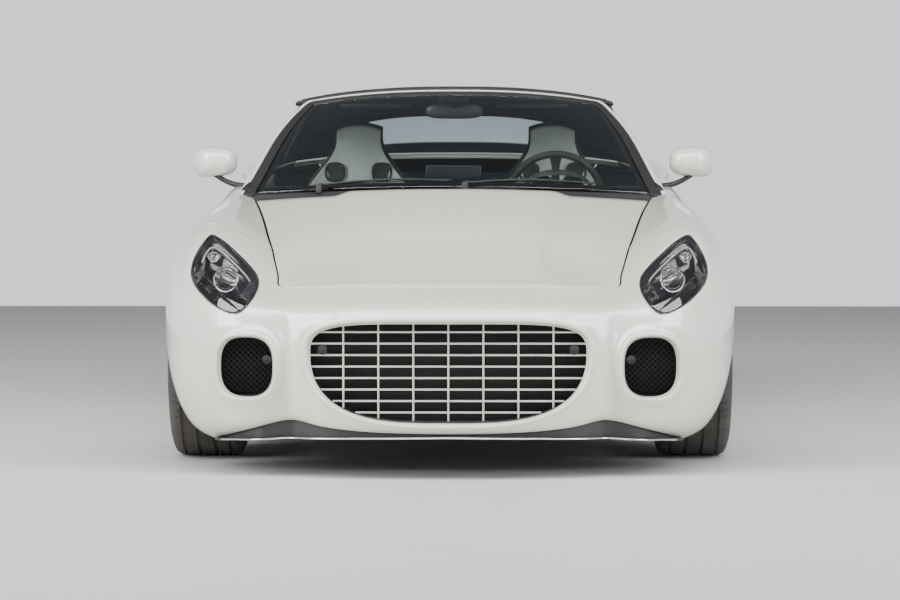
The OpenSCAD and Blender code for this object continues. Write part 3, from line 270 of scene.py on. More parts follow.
class Parts:
    """Points and faces gathered from several simple forms into one mesh."""

    def __init__(self):
        self.points, self.faces = [], []

    def add(self, points, faces):
        base = len(self.points)
        self.points += [tuple(p) for p in np.asarray(points, float).reshape(-1, 3)]
        self.faces += [tuple(base + i for i in f) for f in faces]
        return self

    def box(self, low, high, matrix=None):
        (a, b, c), (d, e, f) = low, high
        p = np.array([[a, b, c], [d, b, c], [d, e, c], [a, e, c], [a, b, f], [d, b, f], [d, e, f], [a, e, f]])
        if matrix is not None:
            p = np.array([matrix @ Vector(q) for q in p])
        return self.add(p, [(0, 3, 2, 1), (4, 5, 6, 7), (0, 1, 5, 4), (1, 2, 6, 5), (2, 3, 7, 6), (3, 0, 4, 7)])

    def tube(self, path, radius, sides=12, closed=False):
        """A round bar along a path; radius may vary."""
        path = np.asarray(path, float)
        n = len(path)
        radius = np.broadcast_to(radius, (n,))
        ahead = np.roll(path, -1, 0) - path if closed else np.gradient(path, axis=0)
        if closed:
            ahead = ahead + path - np.roll(path, 1, 0)
        ahead /= np.linalg.norm(ahead, axis=1, keepdims=True)
        side = np.cross(ahead[0], [0, 0, 1.0])
        if np.linalg.norm(side) < 0.1:
            side = np.cross(ahead[0], [1.0, 0, 0])
        rings = []
        for p, t, r in zip(path, ahead, radius):
            side = side - t * side.dot(t)
            side /= np.linalg.norm(side)
            up = np.cross(side, t)
            a = np.arange(sides) * 2 * math.pi / sides
            rings.append(p + r * (np.cos(a)[:, None] * side + np.sin(a)[:, None] * up))
        faces = quads(n, sides, wrap_n=closed, wrap_m=True)
        if not closed:
            faces += [tuple(range(sides)), tuple((n - 1) * sides + k for k in reversed(range(sides)))]
        return self.add(np.concatenate(rings), faces)

    def lathe(self, profile, sides=96, matrix=None, closed=True):
        """A profile of (axial, radius) pairs turned about X."""
        profile = np.asarray(profile, float)
        a = np.arange(sides) * 2 * math.pi / sides
        p = np.stack([np.repeat(profile[None, :, 0], sides, 0),
                      profile[None, :, 1] * np.cos(a)[:, None],
                      profile[None, :, 1] * np.sin(a)[:, None]], -1).reshape(-1, 3)
        faces = quads(sides, len(profile), wrap_n=True, wrap_m=closed)
        if matrix is not None:
            p = np.array([matrix @ Vector(q) for q in p])
        return self.add(p, faces)

    def grid(self, points, wrap_n=False, wrap_m=False):
        points = np.asarray(points, float)
        return self.add(points.reshape(-1, 3), quads(*points.shape[:2], wrap_n, wrap_m))

    def shell(self, outer, inner):
        """A closed slab between two grids of points."""
        n, m = outer.shape[:2]
        k = n * m
        faces = quads(n, m) + [tuple(k + q for q in reversed(f)) for f in quads(n, m)]
        rim = ([i * m for i in range(n)] + [(n - 1) * m + j for j in range(1, m)]
               + [i * m + m - 1 for i in range(n - 2, -1, -1)] + list(range(m - 2, 0, -1)))
        for a, b in zip(rim, rim[1:] + rim[:1]):
            faces.append((b, a, k + a, k + b))
        return self.add(np.concatenate([outer.reshape(-1, 3), inner.reshape(-1, 3)]), faces)


def outline_distance(outline, x, z):
    """Signed distance in the XZ plane to a closed outline: negative inside."""
    p = np.stack([x, z], -1)
    a = np.asarray(outline)
    b = np.roll(a, -1, 0)
    best = np.full(len(p), 1e9)
    inside = np.zeros(len(p), bool)
    for (ax, az), (bx, bz) in zip(a, b):
        e = np.array([bx - ax, bz - az])
        t = np.clip(((p - [ax, az]) @ e) / (e @ e), 0, 1)
        best = np.minimum(best, np.linalg.norm(p - ([ax, az] + t[:, None] * e), axis=1))
        cross = (az > p[:, 1]) != (bz > p[:, 1])
        with np.errstate(divide="ignore", invalid="ignore"):
            inside ^= cross & (p[:, 0] < (bx - ax) * (p[:, 1] - az) / (bz - az) + ax)
    return np.where(inside, -best, best)


def cut_out(points, faces, distance):
    """Removes the faces inside an outline, after sliding the nearest points onto it."""
    points, d = points.copy(), distance.copy()
    best = {}
    for f in faces:
        for a, b in zip(f, f[1:] + f[:1]):
            if (d[a] < 0) != (d[b] < 0) and d[a] != d[b]:
                t = d[a] / (d[a] - d[b])
                near, far, s = (a, b, t) if t < 0.5 else (b, a, 1 - t)
                if near not in best or s < best[near][0]:
                    best[near] = (s, far)
    moved = {k: points[k] + s * (points[far] - points[k]) for k, (s, far) in best.items()}
    for k, p in moved.items():
        points[k] = p
        d[k] = 0
    kept = [f for f in faces if min(d[list(f)]) >= 0 and max(d[list(f)]) > 0]
    used = sorted({i for f in kept for i in f})
    new = {k: i for i, k in enumerate(used)}
    return points[used], [tuple(new[i] for i in f) for f in kept]


# ---- materials ----

def socket(tree, way, label, kind, default=None):
    made = tree.interface.new_socket(name=label, in_out=way, socket_type=kind)
    if default is not None:
        made.default_value = default


def node(tree, kind, inputs=None, **settings):
    """A shader node; an input is given another node's output socket or a plain value."""
    made = tree.nodes.new(kind)
    for key, value in settings.items():
        setattr(made, key, value)
    for key, value in (inputs or {}).items():
        if isinstance(value, bpy.types.NodeSocket):
            tree.links.new(value, made.inputs[key])
        else:
            made.inputs[key].default_value = value
    return made


def effect(name, inputs, outputs, build):
    """A shader node group with named sockets."""
    if name in bpy.data.node_groups:
        return bpy.data.node_groups[name]
    tree = bpy.data.node_groups.new(name, "ShaderNodeTree")
    for label, default in inputs:
        socket(tree, "INPUT", label, "NodeSocketFloat", default)
    for label in outputs:
        socket(tree, "OUTPUT", label, "NodeSocketFloat")
    start, end = tree.nodes.new("NodeGroupInput"), tree.nodes.new("NodeGroupOutput")
    place = node(tree, "ShaderNodeTexCoord").outputs["Object"]
    for label, result in build(tree, start.outputs, place).items():
        tree.links.new(result, end.inputs[label])
    return tree


def math_node(tree, operation, a, b=0.0, clamp=False):
    return node(tree, "ShaderNodeMath", {0: a, 1: b}, operation=operation, use_clamp=clamp).outputs[0]


def noise(tree, place, scale, detail=3.0, roughness=0.55):
    return node(tree, "ShaderNodeTexNoise", {"Vector": place, "Scale": scale, "Detail": detail,
                                             "Roughness": roughness}).outputs["Fac"]


def build_grain(tree, given, place):
    fine = noise(tree, place, given["Scale"], 6.0, 0.7)
    broad = noise(tree, place, 3.5, 2.0)
    return {"Height": fine, "Unevenness": math_node(tree, "MULTIPLY", broad, fine)}


def build_flake(tree, given, place):
    cells = node(tree, "ShaderNodeTexVoronoi", {"Vector": place, "Scale": given["Scale"]})
    value = node(tree, "ShaderNodeRGBToBW", {"Color": cells.outputs["Color"]}).outputs[0]
    peel = noise(tree, place, 45.0, 2.0)
    return {"Sparkle": math_node(tree, "POWER", value, 2.5), "Orange Peel": peel}


def build_weave(tree, given, place):
    ridges = []
    for turn in (math.radians(45), math.radians(-45)):
        turned = node(tree, "ShaderNodeVectorRotate", {"Vector": place, "Axis": (0, 0, 1), "Angle": turn})
        wave = node(tree, "ShaderNodeTexWave", {"Vector": turned.outputs[0], "Scale": given["Scale"],
                                                "Distortion": 0.6, "Detail": 1.0})
        ridges.append(wave.outputs["Fac"])
    threads = math_node(tree, "MAXIMUM", *ridges)
    faded = noise(tree, place, 5.0, 3.0)
    return {"Height": threads, "Fading": faded}


def build_hide(tree, given, place):
    pores = node(tree, "ShaderNodeTexVoronoi", {"Vector": place, "Scale": given["Scale"]},
                 feature="DISTANCE_TO_EDGE").outputs["Distance"]
    pebbles = math_node(tree, "MINIMUM", math_node(tree, "MULTIPLY", pores, 5.0), 1.0)
    folds = noise(tree, place, 9.0, 5.0, 0.6)
    height = math_node(tree, "ADD", math_node(tree, "MULTIPLY", pebbles, 0.25), folds)
    return {"Height": height, "Wear": folds}


def build_dust(tree, given, place):
    z = node(tree, "ShaderNodeSeparateXYZ", {0: place}).outputs["Z"]
    low = node(tree, "ShaderNodeMapRange", {"Value": z, "From Min": given["Top"], "From Max": 0.0}).outputs[0]
    patchy = noise(tree, place, 14.0, 6.0, 0.65)
    return {"Dust": math_node(tree, "MULTIPLY", math_node(tree, "MULTIPLY", low, patchy), given["Amount"],
                              True)}


def build_turning(tree, given, place):
    """Fine rings and brushed streaks round a wheel's middle."""
    stretched = node(tree, "ShaderNodeMapping", {"Vector": place, "Scale": (60.0, 2.0, 2.0)}).outputs[0]
    streaks = node(tree, "ShaderNodeTexNoise", {"Vector": stretched, "Scale": given["Scale"],
                                                "Detail": 4.0}).outputs["Fac"]
    return {"Height": streaks, "Streaks": streaks}


EFFECTS = {
    "Fine grain": ([("Scale", 900.0)], ["Height", "Unevenness"], build_grain),
    "Paint flake": ([("Scale", 1800.0)], ["Sparkle", "Orange Peel"], build_flake),
    "Woven cloth": ([("Scale", 260.0)], ["Height", "Fading"], build_weave),
    "Leather hide": ([("Scale", 420.0)], ["Height", "Wear"], build_hide),
    "Road dust": ([("Top", 0.5), ("Amount", 0.5)], ["Dust"], build_dust),
    "Turned metal": ([("Scale", 6.0)], ["Height", "Streaks"], build_turning),
}


def use_effect(tree, name, **inputs):
    labels, outputs, build = EFFECTS[name]
    made = node(tree, "ShaderNodeGroup", None, node_tree=effect(name, labels, outputs, build))
    for key, value in inputs.items():
        made.inputs[key].default_value = value
    return made.outputs


def mixed(tree, factor, a, b):
    """A colour between two others."""
    made = node(tree, "ShaderNodeMix", None, data_type="RGBA")
    for key, value in ((0, factor), (6, a), (7, b)):
        if isinstance(value, bpy.types.NodeSocket):
            tree.links.new(value, made.inputs[key])
        else:
            made.inputs[key].default_value = (*value, 1) if key else value
    return made.outputs[2]


def between_values(tree, factor, low, high):
    return node(tree, "ShaderNodeMapRange", {"Value": factor, "To Min": low, "To Max": high}).outputs[0]


def finish_of(name, colour, other, effect_name, mask, height=None, depth=0.0, rough=(0.4, 0.5), dust=0.0,
              dust_top=0.5, scale=None, **fixed):
    """A procedural finish: two tones mixed by an effect's mask, an uneven roughness and a fine relief."""
    made = bpy.data.materials.new(name)
    made.use_nodes = True
    made.diffuse_color = (*colour, 1)
    tree = made.node_tree
    shader = tree.nodes["Principled BSDF"]
    out = use_effect(tree, effect_name, **({"Scale": scale} if scale else {}))
    colour_out = mixed(tree, out[mask], colour, other)
    rough_out = between_values(tree, out[mask], *rough)
    if dust:
        film = use_effect(tree, "Road dust", Amount=dust, Top=dust_top)["Dust"]
        colour_out = dusted(tree, film, colour_out)
        rough_out = math_node(tree, "ADD", rough_out, math_node(tree, "MULTIPLY", film, 0.4), True)
    tree.links.new(colour_out, shader.inputs["Base Color"])
    tree.links.new(rough_out, shader.inputs["Roughness"])
    if height:
        bump = node(tree, "ShaderNodeBump", {"Height": out[height], "Strength": 0.6, "Distance": depth})
        tree.links.new(bump.outputs[0], shader.inputs["Normal"])
    for key, value in fixed.items():
        shader.inputs[key.replace("_", " ")].default_value = value
    return made


def dusted(tree, film, colour):
    made = node(tree, "ShaderNodeMix", None, data_type="RGBA")
    tree.links.new(film, made.inputs[0])
    tree.links.new(colour, made.inputs[6])
    made.inputs[7].default_value = (0.30, 0.27, 0.23, 1)
    return made.outputs[2]


def glass_finish(name, tint, rough=(0.0, 0.02), shade=0.92):
    """Clear glass that lets light through to what is behind it."""
    made = finish_of(name, tint, tuple(0.97 * c for c in tint), "Fine grain", "Unevenness", rough=rough,
                     scale=40.0, Transmission_Weight=1.0, IOR=1.45)
    tree = made.node_tree
    shader = tree.nodes["Principled BSDF"]
    path = node(tree, "ShaderNodeLightPath").outputs
    soft = math_node(tree, "MAXIMUM", path["Is Shadow Ray"], path["Is Diffuse Ray"])
    alpha = math_node(tree, "SUBTRACT", 1.0, math_node(tree, "MULTIPLY", soft, shade))
    tree.links.new(alpha, shader.inputs["Alpha"])
    return made


FINISHES = {}


def make_finishes(settings):
    paint = tuple(settings.paint_colour)
    f = FINISHES
    f["paint"] = finish_of(
        "pearl_paint", paint, tuple(c * 0.93 for c in paint), "Paint flake", "Sparkle", "Orange Peel", 0.0002,
        (0.30, 0.42), dust=settings.dust * 0.25, dust_top=0.32, Coat_Weight=1.0, Coat_Roughness=0.03,
        Metallic=0.08, IOR=1.5)
    f["satin"] = finish_of("satin_black_plastic", (0.018, 0.018, 0.019), (0.03, 0.03, 0.031), "Fine grain",
                           "Unevenness", "Height", 0.0004, (0.42, 0.6), dust=settings.dust * 0.4)
    f["gloss"] = finish_of("gloss_black", (0.006, 0.006, 0.007), (0.012, 0.012, 0.013), "Fine grain",
                           "Unevenness", rough=(0.06, 0.16), Coat_Weight=0.6)
    # Near-black matte plastic; it also serves as painted shade in the drilled brake disc holes and the exhaust bores.
    f["dull"] = finish_of("hidden_black", (0.008, 0.008, 0.008), (0.015, 0.015, 0.015), "Fine grain",
                          "Unevenness", "Height", 0.001, (0.7, 0.9))
    f["cloth"] = finish_of("soft_top_cloth", (0.010, 0.010, 0.012), (0.026, 0.026, 0.029), "Woven cloth",
                           "Fading", "Height", 0.0009, (0.75, 0.95), Sheen_Weight=0.25)
    f["hide"] = finish_of("pale_leather", (0.50, 0.54, 0.47), (0.62, 0.66, 0.58), "Leather hide", "Wear",
                          "Height", 0.0012, (0.42, 0.6))
    f["dark_hide"] = finish_of("dark_leather", (0.022, 0.019, 0.018), (0.04, 0.035, 0.032), "Leather hide",
                               "Wear", "Height", 0.0012, (0.45, 0.65))
    f["slate_hide"] = finish_of("slate_leather", (0.035, 0.043, 0.050), (0.052, 0.062, 0.070), "Leather hide",
                                "Wear", "Height", 0.0012, (0.45, 0.65))
    f["rubber"] = finish_of("tyre_rubber", (0.016, 0.016, 0.017), (0.035, 0.034, 0.033), "Fine grain",
                            "Unevenness", "Height", 0.0008, (0.7, 0.88), dust=settings.dust, dust_top=0.8)
    f["seal"] = finish_of("rubber_seal", (0.012, 0.012, 0.012), (0.02, 0.02, 0.02), "Fine grain",
                          "Unevenness", "Height", 0.0003, (0.55, 0.7))
    f["alloy"] = finish_of("wheel_alloy", (0.30, 0.31, 0.325), (0.40, 0.41, 0.42), "Turned metal", "Streaks",
                           "Height", 0.00015, (0.22, 0.34), dust=settings.dust * 0.5, dust_top=0.7,
                           Metallic=1.0, Coat_Weight=0.5)
    f["steel"] = finish_of("brushed_steel", (0.42, 0.42, 0.43), (0.58, 0.58, 0.6), "Turned metal", "Streaks",
                           "Height", 0.0003, (0.25, 0.42), Metallic=1.0)
    f["chrome"] = finish_of("bright_chrome", (0.82, 0.83, 0.85), (0.88, 0.89, 0.9), "Fine grain",
                            "Unevenness", rough=(0.04, 0.1), Metallic=1.0)
    f["cast"] = finish_of("cast_metal", (0.13, 0.135, 0.14), (0.22, 0.225, 0.23), "Fine grain", "Unevenness",
                          "Height", 0.0015, (0.45, 0.7), dust=settings.dust, scale=300.0, Metallic=0.8)
    f["caliper"] = finish_of("caliper_paint", (0.30, 0.31, 0.32), (0.36, 0.37, 0.38), "Fine grain",
                             "Unevenness", "Height", 0.0006, (0.3, 0.5), dust=settings.dust, Metallic=0.5)
    f["structure"] = finish_of("underbody_coat", (0.03, 0.031, 0.033), (0.055, 0.055, 0.056), "Fine grain",
                               "Unevenness", "Height", 0.0015, (0.6, 0.85), dust=settings.dust, scale=350.0)
    f["carpet"] = finish_of("cabin_carpet", (0.014, 0.013, 0.013), (0.035, 0.033, 0.032), "Woven cloth",
                            "Fading", "Height", 0.002, (0.85, 1.0), scale=150.0)
    f["red"] = finish_of("red_lens", (0.42, 0.012, 0.014), (0.5, 0.02, 0.02), "Fine grain", "Unevenness",
                         rough=(0.05, 0.14), Transmission_Weight=0.35, Coat_Weight=1.0)
    f["amber"] = finish_of("indicator_lens", (0.66, 0.60, 0.52), (0.75, 0.70, 0.62), "Fine grain",
                           "Unevenness", rough=(0.08, 0.2), Transmission_Weight=0.4, Coat_Weight=0.8)
    f["glass"] = glass_finish("tinted_glass", (0.62, 0.70, 0.70))
    f["clear"] = glass_finish("lamp_cover_glass", (0.97, 0.98, 0.98))
    f["optic"] = glass_finish("lamp_lens_glass", (0.93, 0.95, 0.97), shade=0.5)
    f["mirror"] = finish_of("mirror_glass", (0.80, 0.82, 0.84), (0.84, 0.86, 0.87), "Fine grain",
                            "Unevenness", rough=(0.01, 0.04), Metallic=1.0)
    f["floor"] = finish_of("studio_floor", (0.60, 0.60, 0.59), (0.66, 0.66, 0.65), "Fine grain",
                           "Unevenness", "Height", 0.0006, (0.5, 0.65), scale=120.0)


# ---- where the outer skin is cut into panels ----

FRONT_Y, REAR_Y, TYRE_R = FRONT_WHEEL.y, REAR_WHEEL.y, FRONT_WHEEL.z
ARCH_R = TYRE_R + 0.042
HINGE = joint_at("door_left_hinge")
DOOR_LEN = 1.160
GAP = 0.006
DOOR_IN = 0.738
BULKHEAD_Y = 0.902


def arch_uv(axle, u, degrees):
    a = np.radians(degrees)
    return find(u - np.cos(a), 1.3 + 3.3 * np.sin(a), 1, 2, axle - ARCH_R * np.cos(a),
                TYRE_R + ARCH_R * np.sin(a))


FRONT_CUT = [float(q) for q in arch_uv(FRONT_Y, 8, 45)]
REAR_CUT = [float(q) for q in arch_uv(REAR_Y, 14, 130)]
FRONT_SIDE_V = float(arch_uv(FRONT_Y, 8, 180)[1])
REAR_SIDE_V = float(arch_uv(REAR_Y, 14, 0)[1])


def arch_edge(axle, u, low, high, guess):
    """A function that gives the station of the panel edge which follows a wheel arch."""
    us, vs = arch_uv(axle, u, np.linspace(low, high, 40))

    def at(v):
        v = np.asarray(v, float)
        side = axle - ARCH_R if axle < 0 else axle + ARCH_R
        below = station_of(np.minimum(v, vs[0]), side, guess)
        return np.where(v >= vs[-1], us[-1], np.where(v >= vs[0], np.interp(v, vs, us), below))

    return at


fender_front_edge = arch_edge(FRONT_Y, 8, 0, 45, 7)
tail_edge = arch_edge(REAR_Y, 14, 180, 130, 15)


def front_shut(v, extra):
    return station_of(v, HINGE.y - extra, 10.2)


def rear_shut(v, extra):
    """The door's rear edge lies on an arc about its hinge."""
    u = np.full(np.shape(v), 12.6)
    for _ in range(4):
        x = skin(u, v)[..., 0]
        u = station_of(v, HINGE.y + np.sqrt((DOOR_LEN + extra) ** 2 - (HINGE.x - x) ** 2), u)
    return u


def line(a, b, n):
    return np.linspace(a, b, n + 1)


def path_uv(u, v):
    u, v = np.broadcast_arrays(u, v)
    return np.stack([u, v], -1)


def between(a, b, n):
    k = line(0, 1, n)[None, :, None]
    return a[:, None] * (1 - k) + b[:, None] * k


def skin_mesh(grid):
    """Points and outward faces of the skin over a grid of (u, v)."""
    points = skin(grid[..., 0], grid[..., 1])
    faces = quads(*grid.shape[:2])
    i, k = grid.shape[0] // 2, grid.shape[1] // 2
    n = np.cross(points[i + 1, k] - points[i, k], points[i, k + 1] - points[i, k])
    if n @ skin_normal(*grid[i, k]) < 0:
        faces = [tuple(reversed(f)) for f in faces]
    return points, faces


def oval(x, z, rx, rz, n=72):
    a = np.arange(n) * 2 * math.pi / n
    return np.stack([x + rx * np.cos(a), z + rz * np.sin(a)], -1)


def squared_oval(x, z, rx, rz, n=96, p=0.72):
    a = np.arange(n) * 2 * math.pi / n
    c, s = np.cos(a), np.sin(a)
    return np.stack([x + rx * np.sign(c) * abs(c) ** p, z + rz * np.sign(s) * abs(s) ** p], -1)


def rounded_loop(points, n):
    """A smooth closed loop through a few points."""
    points = np.asarray(points, float)
    f = np.arange(n) / n * len(points)
    i, w = np.floor(f).astype(int), (f % 1)[:, None]
    a, b, c, d = (points[(i + k) % len(points)] for k in (-1, 0, 1, 2))
    return b + 0.5 * w * (c - a + w * (2 * a - 5 * b + 4 * c - d + w * (3 * (b - c) + d - a)))


def grille_outline(n=160):
    a = np.arange(n) * 2 * math.pi / n
    c, s = np.cos(a), np.sin(a)
    px, pz = np.where(s > 0, 0.42, 0.62), np.where(s > 0, 0.62, 0.9)
    end = np.where(s >= 0, 0.516, 0.180)
    return np.stack([0.465 * np.sign(c) * abs(c) ** px, 0.405 + (end - 0.405) * abs(s) ** pz], -1)


GRILLE = grille_outline()
INTAKE = squared_oval(0.670, 0.362, 0.091, 0.100)
LAMP = rounded_loop(np.array([
    [869, 690], [858, 725], [838, 762], [815, 785], [770, 762], [725, 725], [680, 685], [648, 650],
    [640, 620], [648, 590], [668, 560], [695, 540], [725, 538], [770, 555], [815, 585], [850, 620],
    [868, 655]]) / 1000, 96)
TAIL_LAMPS = [(0.618, 0.742, 0.066), (0.452, 0.752, 0.054)]


def grown(outline, by):
    """An outline moved outward by a distance, along the lines from its middle."""
    c = outline.mean(0)
    d = outline - c
    return outline + by * d / np.linalg.norm(d, axis=1, keepdims=True)


# ---- body panels ----

def build_nose(settings):
    v = np.concatenate([line(0, FRONT_CUT[1], 62), line(FRONT_CUT[1], 8, 58)[1:]])
    edge = fender_front_edge(v)
    w = line(-1, 1, 230)
    w = np.sign(w) * abs(w) ** 0.9
    u, vv = w[:, None] * edge[None, :], np.broadcast_to(v, (len(w), len(v)))
    grid = np.stack([u, vv], -1)
    points, faces = skin_mesh(grid)
    normals = skin_normal(u, vv)
    flat = points.reshape(-1, 3).copy()
    normals = normals.reshape(-1, 3)
    x, z = abs(flat[:, 0]), flat[:, 2]
    on_face = flat[:, 1] < -1.60
    intake = outline_distance(grown(INTAKE, 0.007), x, z)
    grille = outline_distance(grown(GRILLE, 0.007), x, z)
    lamp = outline_distance(LAMP, x, z)
    # The skin swells towards each opening, where a rolled lip covers its edge.
    lift = 0.012 * smooth((0.040 - intake) / 0.036) * (flat[:, 1] < -1.95)
    lift += 0.005 * smooth((0.030 - grille) / 0.028) * (flat[:, 1] < -2.0)
    raised = flat + normals * lift[:, None]
    holes = np.minimum(np.minimum(np.where(flat[:, 1] < -1.95, intake, 1),
                                  np.where(flat[:, 1] < -2.0, grille, 1)),
                       np.where(on_face, lamp, 1))
    points, faces = cut_out(raised, faces, holes)
    mesh_piece("nose_skin", points, faces, FINISHES["paint"], "chassis", ["nose"], "paint", 50,
               settings.panel_thickness, 0.0)
    lip = rolled_lip(GRILLE, 0.005)
    mesh_piece("grille_lip", *lip, FINISHES["paint"], "chassis", slot="paint", shade=60)
    pair("intake_lip", *rolled_lip(INTAKE, 0.012), FINISHES["paint"], "chassis", slot="paint", shade=60)
    seal = []
    for size, depth in ((0.0004, -0.0006), (-0.0035, -0.0004), (-0.0040, 0.004), (-0.0020, 0.012)):
        seal.append(front_rows(grown(LAMP, size), depth))
    pair("headlamp_seal", np.array(seal).reshape(-1, 3), quads(4, len(LAMP), wrap_m=True), FINISHES["seal"],
         "chassis", slot="black_plastic", shade=60)


def front_rows(outline, depth):
    u, v = on_front(outline[:, 0], outline[:, 1])
    return skin(u, v) - depth * skin_normal(u, v)


def rolled_lip(outline, height):
    """A smooth lip that rises from the skin round an opening and turns inward."""
    rows = []
    for size, rise in ((0.019, 0.0002), (0.014, 0.0022), (0.010, 0.0034), (0.006, 0.0036), (0.003, 0.0026),
                       (0.001, 0.0004),
                       (0.0, -0.003), (-0.0005, -0.010), (-0.001, -0.022)):
        o = grown(outline, size)
        swell = height * float(smooth(np.array((0.047 - size - 0.007) / 0.036)))
        rows.append(front_rows(o, -(rise + swell)))
    return np.array(rows).reshape(-1, 3), quads(len(rows), len(outline), wrap_m=True)


def build_body(settings):
    build_nose(settings)
    inner = np.concatenate([
        np.stack(arch_uv(FRONT_Y, 8, line(45, 180, 72)), -1),
        [[station_of(v, FRONT_Y + ARCH_R, 9), v] for v in line(FRONT_SIDE_V, 0, 16)[1:]]])
    outer = np.concatenate([
        path_uv(line(FRONT_CUT[0], float(front_shut(8, GAP)), 56), 8.0),
        [[front_shut(v, GAP), v] for v in line(8, 0, 32)[1:]]])
    points, faces = skin_mesh(between(inner, outer, 40))
    pair("front_fender", points.reshape(-1, 3), faces, FINISHES["paint"], "chassis",
         ("front_fender_left", "front_fender_right"), slot="paint", shade=50,
         thick=settings.panel_thickness, bevel=0.0025)
    inner = np.concatenate([
        [[station_of(v, REAR_Y - ARCH_R, 13), v] for v in line(0, REAR_SIDE_V, 16)[:-1]],
        np.stack(arch_uv(REAR_Y, 14, line(0, 130, 72)), -1)])
    vs = line(0, 8, 32)
    outer = np.concatenate([
        path_uv(rear_shut(vs, GAP), vs),
        path_uv(line(float(rear_shut(np.array(8.0), GAP)), REAR_CUT[0], 56)[1:], 8.0)])
    points, faces = skin_mesh(between(inner, outer, 40))
    pair("rear_quarter", points.reshape(-1, 3), faces, FINISHES["paint"], "chassis",
         ("rear_quarter_left", "rear_quarter_right"), slot="paint", shade=50,
         thick=settings.panel_thickness, bevel=0.0025)
    v = np.concatenate([line(0, REAR_CUT[1], 48), line(REAR_CUT[1], 8, 36)[1:]])
    w = line(-1, 1, 170)
    u = LAST + w[:, None] * (LAST - tail_edge(v))[None, :]
    grid = np.stack([u, np.broadcast_to(v, u.shape)], -1)
    points, faces = skin_mesh(grid)
    flat = points.reshape(-1, 3)
    holes = np.minimum.reduce([outline_distance(oval(x, z, r, r), abs(flat[:, 0]), flat[:, 2])
                               for x, z, r in TAIL_LAMPS + [(0.340, 0.268, 0.047), (0.440, 0.268, 0.047)]])
    points, faces = cut_out(flat, faces, holes)
    mesh_piece("rear_bumper_skin", points, faces, FINISHES["paint"], "chassis", ["rear_bumper"], "paint", 50,
               settings.panel_thickness, 0.0025)
    vs = line(0, SILL_TOP, 14)
    grid = np.stack([np.stack([line(a, b, 40) for a, b in zip(front_shut(vs, GAP), rear_shut(vs, GAP))], 1),
                     np.broadcast_to(vs, (41, len(vs)))], -1)
    points, faces = skin_mesh(grid)
    pair("sill", points.reshape(-1, 3), faces, FINISHES["paint"], "chassis", ("sills", "sills"), slot="paint",
         shade=50, thick=0.018, bevel=0.002)
    beams = Parts()
    y0, y1 = FRONT_Y + ARCH_R + 0.03, REAR_Y - ARCH_R - 0.03
    beams.box((DOOR_IN, y0, 0.160), (0.868, y1, 0.222))
    for y in (-0.80, 0.79):
        beams.box((0.79, y - 0.04, 0.148), (0.85, y + 0.04, 0.1605))
    for y in line(y0 + 0.06, y1 - 0.06, 9):
        beams.box((0.745, y - 0.012, 0.156), (0.785, y + 0.012, 0.1605))
    pair("sill_beam", beams.points, beams.faces, FINISHES["structure"], "chassis", slot="structure",
         bevel=0.003)
    build_deck(settings)


SILL_TOP = float(find(11.5, 0.8, 1, 2, 0.0, 0.235)[1])
DOOR_LOW = float(find(11.5, 0.8, 1, 2, 0.0, 0.241)[1])


# ---- lids, screen and soft top surfaces ----

def rim(u):
    return skin(u, 8.0)


def lid_point(s, side, end, corner, w, bow, crown):
    return np.stack([s * side[..., 0] + (end[..., 0] - s * corner[0]) * w,
                     side[..., 1] + (end[..., 1] - corner[1]) * w - bow,
                     side[..., 2] + (end[..., 2] - corner[2]) * w + crown], -1)


BONNET_FRONT, BOOT_REAR = 3.25, 17.1
BONNET_REAR = float(station_of(8.0, -0.836, 9.4))
BOOT_FRONT = float(station_of(8.0, 1.336, 13.9))


def bonnet_at(s, t):
    s, t = np.broadcast_arrays(np.asarray(s, float), np.asarray(t, float))
    ridge = 0.46 + 0.10 * t
    crown = ((1 - s * s) * (7 + 23 * smooth(t)) + 17 * smooth(t * 2.2)
             * smooth((ridge + 0.05 - abs(s)) / 0.11)) / 1000
    return lid_point(s, rim(BONNET_FRONT + (BONNET_REAR - BONNET_FRONT) * t), rim(BONNET_FRONT * s),
                     rim(BONNET_FRONT), (1 - t) ** 2, 0.168 * (1 - s * s) * t**3, crown)


def boot_at(s, t):
    s, t = np.broadcast_arrays(np.asarray(s, float), np.asarray(t, float))
    crown = (1 - s * s) * (26 - 20 * smooth(t)) / 1000
    return lid_point(s, rim(BOOT_FRONT + (BOOT_REAR - BOOT_FRONT) * t), rim(LAST - (LAST - BOOT_REAR) * s),
                     rim(BOOT_REAR), t * t, 0.0, crown)


def screen(s, t):
    s, t = np.broadcast_arrays(np.asarray(s, float), np.asarray(t, float))
    b = np.stack([790 * s, -900 + 150 * s * s, 935 - 24 * s * s], -1)
    c = np.stack([575 * s, -110 + 110 * s * s, 1296 - 41 * abs(s) ** 2.4], -1)
    side = 28 * np.sin(np.pi * np.maximum(t, 0) ** 1.5) * s * abs(s)
    belly = 26 * 4 * t * (1 - t) * (1 - s * s)
    return (b + (c - b) * t[..., None] + np.stack([side, -0.45 * belly, 0.9 * belly], -1)) / 1000


def surface_normal(f, s, t, low=None, high=None):
    e = 0.01
    up = t + e if high is None else np.minimum(t + e, high)
    down = t - e if low is None else np.maximum(t - e, low)
    n = np.cross(f(s + e, t) - f(s - e, t), f(s, up) - f(s, down))
    return n / np.linalg.norm(n, axis=-1, keepdims=True)


def glass_x(z):
    h = (np.asarray(z) - 0.930) * 1000
    return (766 - 0.40 * h - 0.00046 * h * h) / 1000


def belt(y):
    return skin(station_of(8.0, y, 11), 8.0)


